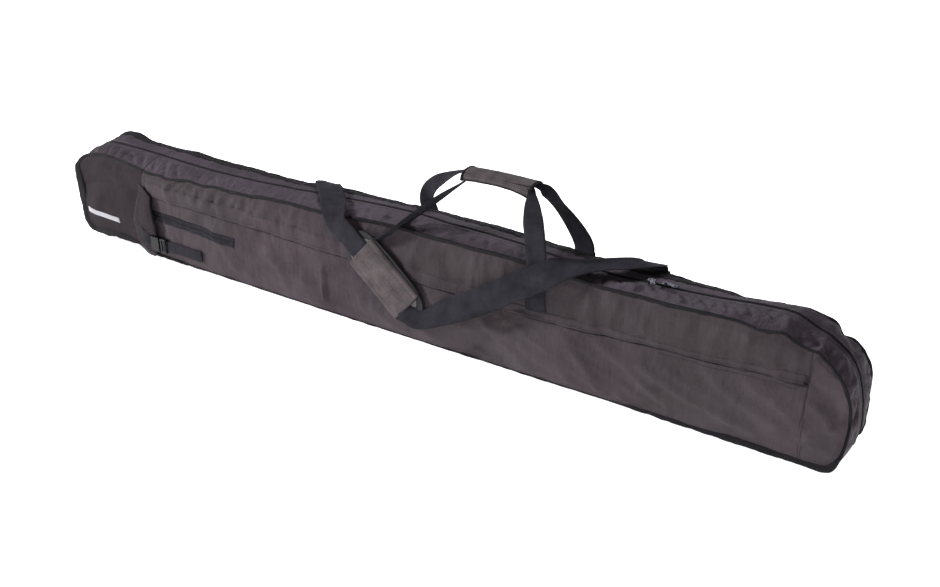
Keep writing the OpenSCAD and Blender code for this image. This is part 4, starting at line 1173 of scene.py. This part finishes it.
# ribbed cloth sleeve that holds the pad to the webbing
uu_ = np.linspace(-67, 73, 71)
vv_ = np.linspace(-42.5, 42.5, 41)
PG = np.zeros((71, 41, 3))
for i, u in enumerate(uu_):
    for j, v_ in enumerate(vv_):
        a = abs(v_)
        h = 3.0 - 1.7 / (1 + math.exp(-(a - 27.5) / 1.5)) + 0.7 * math.exp(-((a - 36.5) / 4) ** 2)
        if a > 39:
            h -= (a - 39) ** 2 * 0.35
        end_ = 70 - abs(u - 3)
        h -= 0.5 * math.exp(-end_ / 2.0)
        h += 0.5 * noise.noise(Vector((u / 26, v_ / 22, 1.7)))
        h += 0.22 * math.sin(v_ * 2 * math.pi / 2.7)
        PG[i, j] = pad_pt(u + 0.8 * math.sin(v_ / 13), v_, h)
sl = sheet_obj("pad_sleeve", PG, 1.2, "shoulder_pad", "grip_cloth", flip=True, replaces=("pad_cover",))
for k, u in enumerate((-63.5, -60.5, 66.5, 69.5)):
    i = int(np.argmin(np.abs(uu_ - u)))
    stitches("pad_stitch_%d" % k, PG[i, 2:-2] + NRM * 0.25, NRM, "shoulder_pad", "grip_cloth", 3.0, 2.1, 0.34, M["thread"])
for k in range(2):
    pts = PG[0 if k == 0 else -1] + NRM * -0.3
    sweep_obj("pad_bind_%d" % k, pts, np.repeat([PD], 41, 0), np.repeat([NRM], 41, 0), oval(2.4, 2.6, 8, 2.4), "shoulder_pad", "binding")

# ---- carrying handles ------------------------------------------------------------------------
# legs sewn flat on the faces
LEG_F = mm("handle_legs_front")[1][0] - 20
LEG_B0, LEG_B1 = mm("handle_legs_back")[0][0] + 20, mm("handle_legs_back")[1][0] - 20
for k, (x0, zb_, zt_) in enumerate(((-27.0, 146.0, 178.0), (LEG_F, 141.0, 216.0))):
    st = []
    for t_ in np.linspace(0, 1, 14):
        z = zb_ + (zt_ - zb_) * t_
        xx = x0 + (4 * (1 - t_) if k else -27 * (1 - t_))
        p_ = on_front(xx, z, 2.4)
        p_[1] = min(p_[1], on_front(xx - 18, z, 2.2)[1], on_front(xx + 18, z, 2.2)[1])
        p_[1] = p_[1] if z < 200 else min(p_[1], -62.4)
        st.append(p_)
    strap_obj("leg_front_%d" % k, st, [[1, 0, 0] if k else PD] * 14, 40 if k else 34, 1.8, "bag", step=3, across=9, wav=0.3, seed=10 + k, replaces=("handle_legs_front",) if k == 0 else ())
    if k == 0:
        continue
    y_ = [q[1] - 1.3 for q in st]
    for a_, b_ in (((-17, zb_ + 3), (17, zb_ + 3)), ((-17, zb_ + 30), (17, zb_ + 30)), ((-17, zb_ + 3), (-17, zb_ + 30)), ((17, zb_ + 3), (17, zb_ + 30)), ((-17, zb_ + 3), (17, zb_ + 30)), ((17, zb_ + 3), (-17, zb_ + 30))):
        za, zb2 = a_[1], b_[1]
        zs_ = [q[2] for q in st]
        stitches("leg_front_%d_st_%d_%d_%d" % (k, a_[0] + 50, b_[0] + 50, int(za + zb2)), [(x0 + (3 if k else 0) + a_[0], np.interp(za, zs_, y_), za), (x0 + (3 if k else 0) + b_[0], np.interp(zb2, zs_, y_), zb2)],
                 np.array([0.0, -1, 0]), "bag", "webbing", 3.2, 2.3, 0.36, M["thread_dark"])
for k, x0 in enumerate((LEG_B0, LEG_B1)):
    st = []
    for z in np.linspace(130, 216, 14):
        i = np.argmin((P_BACK[..., 0] - x0) ** 2 + (P_BACK[..., 2] - z) ** 2)
        st.append((x0, max(P_BACK.reshape(-1, 3)[i, 1] + 2.4, 62.4), z))
    strap_obj("leg_back_%d" % k, st, [[1, 0, 0]] * 14, 40, 1.8, "bag", step=3, across=9, wav=0.2, seed=14 + k, replaces=("handle_legs_back",) if k == 0 else ())
    for a_, b_ in (((-17, 134), (17, 134)), ((-17, 164), (17, 164)), ((-17, 134), (17, 164)), ((17, 134), (-17, 164))):
        zs_ = [q[2] for q in st]
        ys_ = [q[1] + 1.3 for q in st]
        stitches("leg_back_%d_st_%d_%d_%d" % (k, a_[0] + 50, b_[0] + 50, a_[1]), [(x0 + a_[0], np.interp(a_[1], zs_, ys_), a_[1]), (x0 + b_[0], np.interp(b_[1], zs_, ys_), b_[1])],
                 np.array([0.0, 1, 0]), "bag", "webbing", 3.2, 2.3, 0.36, M["thread_dark"])

loops = {
    "front_right": ([(326, -62.6, 213), (326, -62.8, 224), (325, -62.6, 240), (321, -60, 268), (309, -48, 298), (293, -25, 317), (280, -4, 327), (268, 8, 334), (240, 12, 336), (205, 12, 336)],
                    [(1, 0, 0), (1, 0, 0), (1, 0, 0), (1, 0.05, 0.1), (0.95, 0.25, 0.2), (0.85, 0.5, 0.1), (0.6, 0.8, 0), (0.1, 1, 0), (0, 1, 0), (0, 1, 0)], [40, 40, 40, 40, 37, 27, 15, 15, 17, 17]),
    "front_left": ([(-28, -67, 176), (-20, -67.5, 185), (-11, -67.5, 194.5), (1, -67, 205), (15, -65.5, 216), (33, -60.5, 231), (62, -46, 257), (84, -32, 277), (106, -16, 296), (128, 1, 314), (145, 9, 328), (168, 12, 335), (205, 12, 336)],
                   [tuple(PD), (0.6, 0.3, -0.6), (0.2, 0.7, -0.55), (-0.1, 0.87, -0.5), (-0.25, 0.87, -0.5), (-0.28, 0.87, -0.55), (-0.28, 0.87, -0.6), (-0.27, 0.87, -0.62), (-0.26, 0.87, -0.6), (-0.2, 0.95, -0.4), (0, 1, -0.1), (0, 1, 0), (0, 1, 0)],
                   [34, 28, 24, 26, 30, 36, 37, 35, 28, 16, 15, 17, 17]),
    "back_right": ([(353, 62.8, 213), (351, 63, 226), (340, 61.5, 246), (321, 57, 273), (302, 49, 298), (290, 41, 316), (278, 33, 329), (262, 28, 335), (235, 28, 336), (205, 28, 336)],
                   [(1, 0, 0), (1, 0, 0), (0.98, -0.1, 0.25), (0.88, -0.3, 0.42), (0.75, -0.4, 0.5), (0.5, -0.1, 0.7), (0.2, 0.8, 0.4), (0, 1, 0), (0, 1, 0), (0, 1, 0)], [40, 40, 40, 40, 37, 28, 15, 16, 17, 17]),
    "back_left": ([(17, 62.8, 213), (13, 63, 224), (10, 61.5, 240), (17, 57, 259), (40, 48.5, 283), (78, 37, 307), (110, 30, 325), (132, 28, 333), (165, 28, 336), (205, 28, 336)],
                  [(-1, 0, 0), (-1, 0, 0), (-1, 0.1, 0.15), (-0.75, 0.3, 0.5), (-0.45, 0.6, 0.6), (-0.2, 0.9, 0.4), (-0.05, 1, 0.1), (0, 1, 0), (0, 1, 0), (0, 1, 0)], [40, 40, 40, 39, 36, 30, 20, 17, 17, 17])}
for nm, (st, wd_, wdt) in loops.items():
    ob = strap_obj("loop_" + nm, st, wd_, 40, 1.8, "bag", step=3, across=9, wav=0.25, seed=len(nm), width=wdt,
                   replaces={"front_right": ("handle_loop_front",), "back_right": ("handle_loop_back",)}.get(nm, ()))
    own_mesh(ob)

# wrap: a padded cloth saddle with bound ends
WB_ = mm("handle_wrap")
WCX, WCY, WTZ = (WB_[0][0] + WB_[1][0]) / 2, (WB_[0][1] + WB_[1][1]) / 2, WB_[1][2]
wx_ = np.linspace(WCX - 72, WCX + 70, 50)
ss = np.linspace(-1, 1, 37)
WG = np.zeros((50, 37, 3))
for i, x in enumerate(wx_):
    t_ = (x - WCX + 1) / 71
    drop = 14.0 + (9.5 if t_ > 0 else 3.0) * t_ * t_
    zt_ = WTZ - 0.3 - 2.2 * t_ * t_ * 0.5
    for j, s in enumerate(ss):
        y = WCY + 24.0 * math.sin(s * math.pi / 2 * 0.98)
        z = zt_ - drop * abs(s) ** 2.3
        rr_ = 0.5 * noise.noise(Vector((x / 24, s * 2, 4.4))) + 0.12 * math.sin(x * 2 * math.pi / 2.6)
        WG[i, j] = (x, y, z + rr_)
wr = sheet_obj("wrap", WG, 3.4, "carry_handle", "grip_cloth", flip=False, replaces=("handle_wrap",))
inner = WG.copy()
inner[..., 2] -= 4.2
inner[..., 1] = WCY + (inner[..., 1] - WCY) * 0.86
core = np.zeros((50, 2, 3))
for k, i in enumerate((0, -1)):
    pts = WG[i] + [0.4 if k == 0 else -0.4, 0, -1.4]
    t3 = np.gradient(pts, axis=0)
    t3 /= np.linalg.norm(t3, axis=1, keepdims=True)
    nn3 = np.cross(t3, [1, 0, 0])
    sweep_obj("wrap_bind_%d" % k, pts, np.repeat([[1.0, 0.0, 0.0]], 37, 0), nn3, oval(5.5, 5.2, 12, 2.6), "carry_handle", "binding")
for k, j in enumerate((0, -1)):
    pts = WG[:, j] + [0, 0.6 if k == 0 else -0.6, 0.2]
    sweep_obj("wrap_hem_%d" % k, pts, np.repeat([[0.0, 1.0, 0.0]], 50, 0), np.repeat([[0.0, 0.0, 1.0]], 50, 0), oval(4.4, 3.2, 10, 2.4), "carry_handle", "binding")
for k, (j, dy) in enumerate(((3, -1), (-4, 1))):
    stitches("wrap_stitch_%d" % k, WG[1:-1, j] + [0, dy * 0.3, 0.2], np.array([0.0, float(dy), 0.4]), "carry_handle", "grip_cloth", 3.2, 2.2, 0.34)
# foam core seen under the saddle
o_ = oval(40, 7, 20, 3.0)
cx2 = np.linspace(WCX - 69, WCX + 67, 40)
C_ = np.stack([cx2, np.full(40, WCY), WTZ - 4.9 - 0.9 * ((cx2 - WCX) / 77) ** 2], 1)
wc = sweep_obj("wrap_core", C_, np.repeat([[0.0, 1.0, 0.0]], 40, 0), np.repeat([[0.0, 0.0, 1.0]], 40, 0), o_ * [0.94, 0.3], "carry_handle", "grip_cloth", mat=M["binding"])

# ---- sliders and other hard parts keep their CAD shape, with better materials ---------------
slot_of = {s["node"]: s["material_slot"] for s in frame["record"]["subparts"]}
for node_name, slot_name in slot_of.items():
    o = bpy.data.objects.get(node_name)
    if o is not None and o.type == "MESH" and slot_name in M:
        for ms in o.material_slots:
            ms.material = M[slot_name]

# ---- stage -----------------------------------------------------------------------------------
fm = bpy.data.meshes.new("floor")
fm.from_pydata([(-50, -50, -0.0006), (50, -50, -0.0006), (50, 50, -0.0006), (-50, 50, -0.0006)], [], [(0, 1, 2, 3)])
floor = bpy.data.objects.new("floor", fm)
scene.collection.objects.link(floor)
fmat = Mat("m_floor", rough=0.9, spec=0.0)
fmat.b.inputs["Base Color"].default_value = (0.9, 0.9, 0.9, 1)
fmat.b.inputs["Emission Color"].default_value = (1, 1, 1, 1)
fmat.b.inputs["Emission Strength"].default_value = 0.95
floor.data.materials.append(fmat.m)
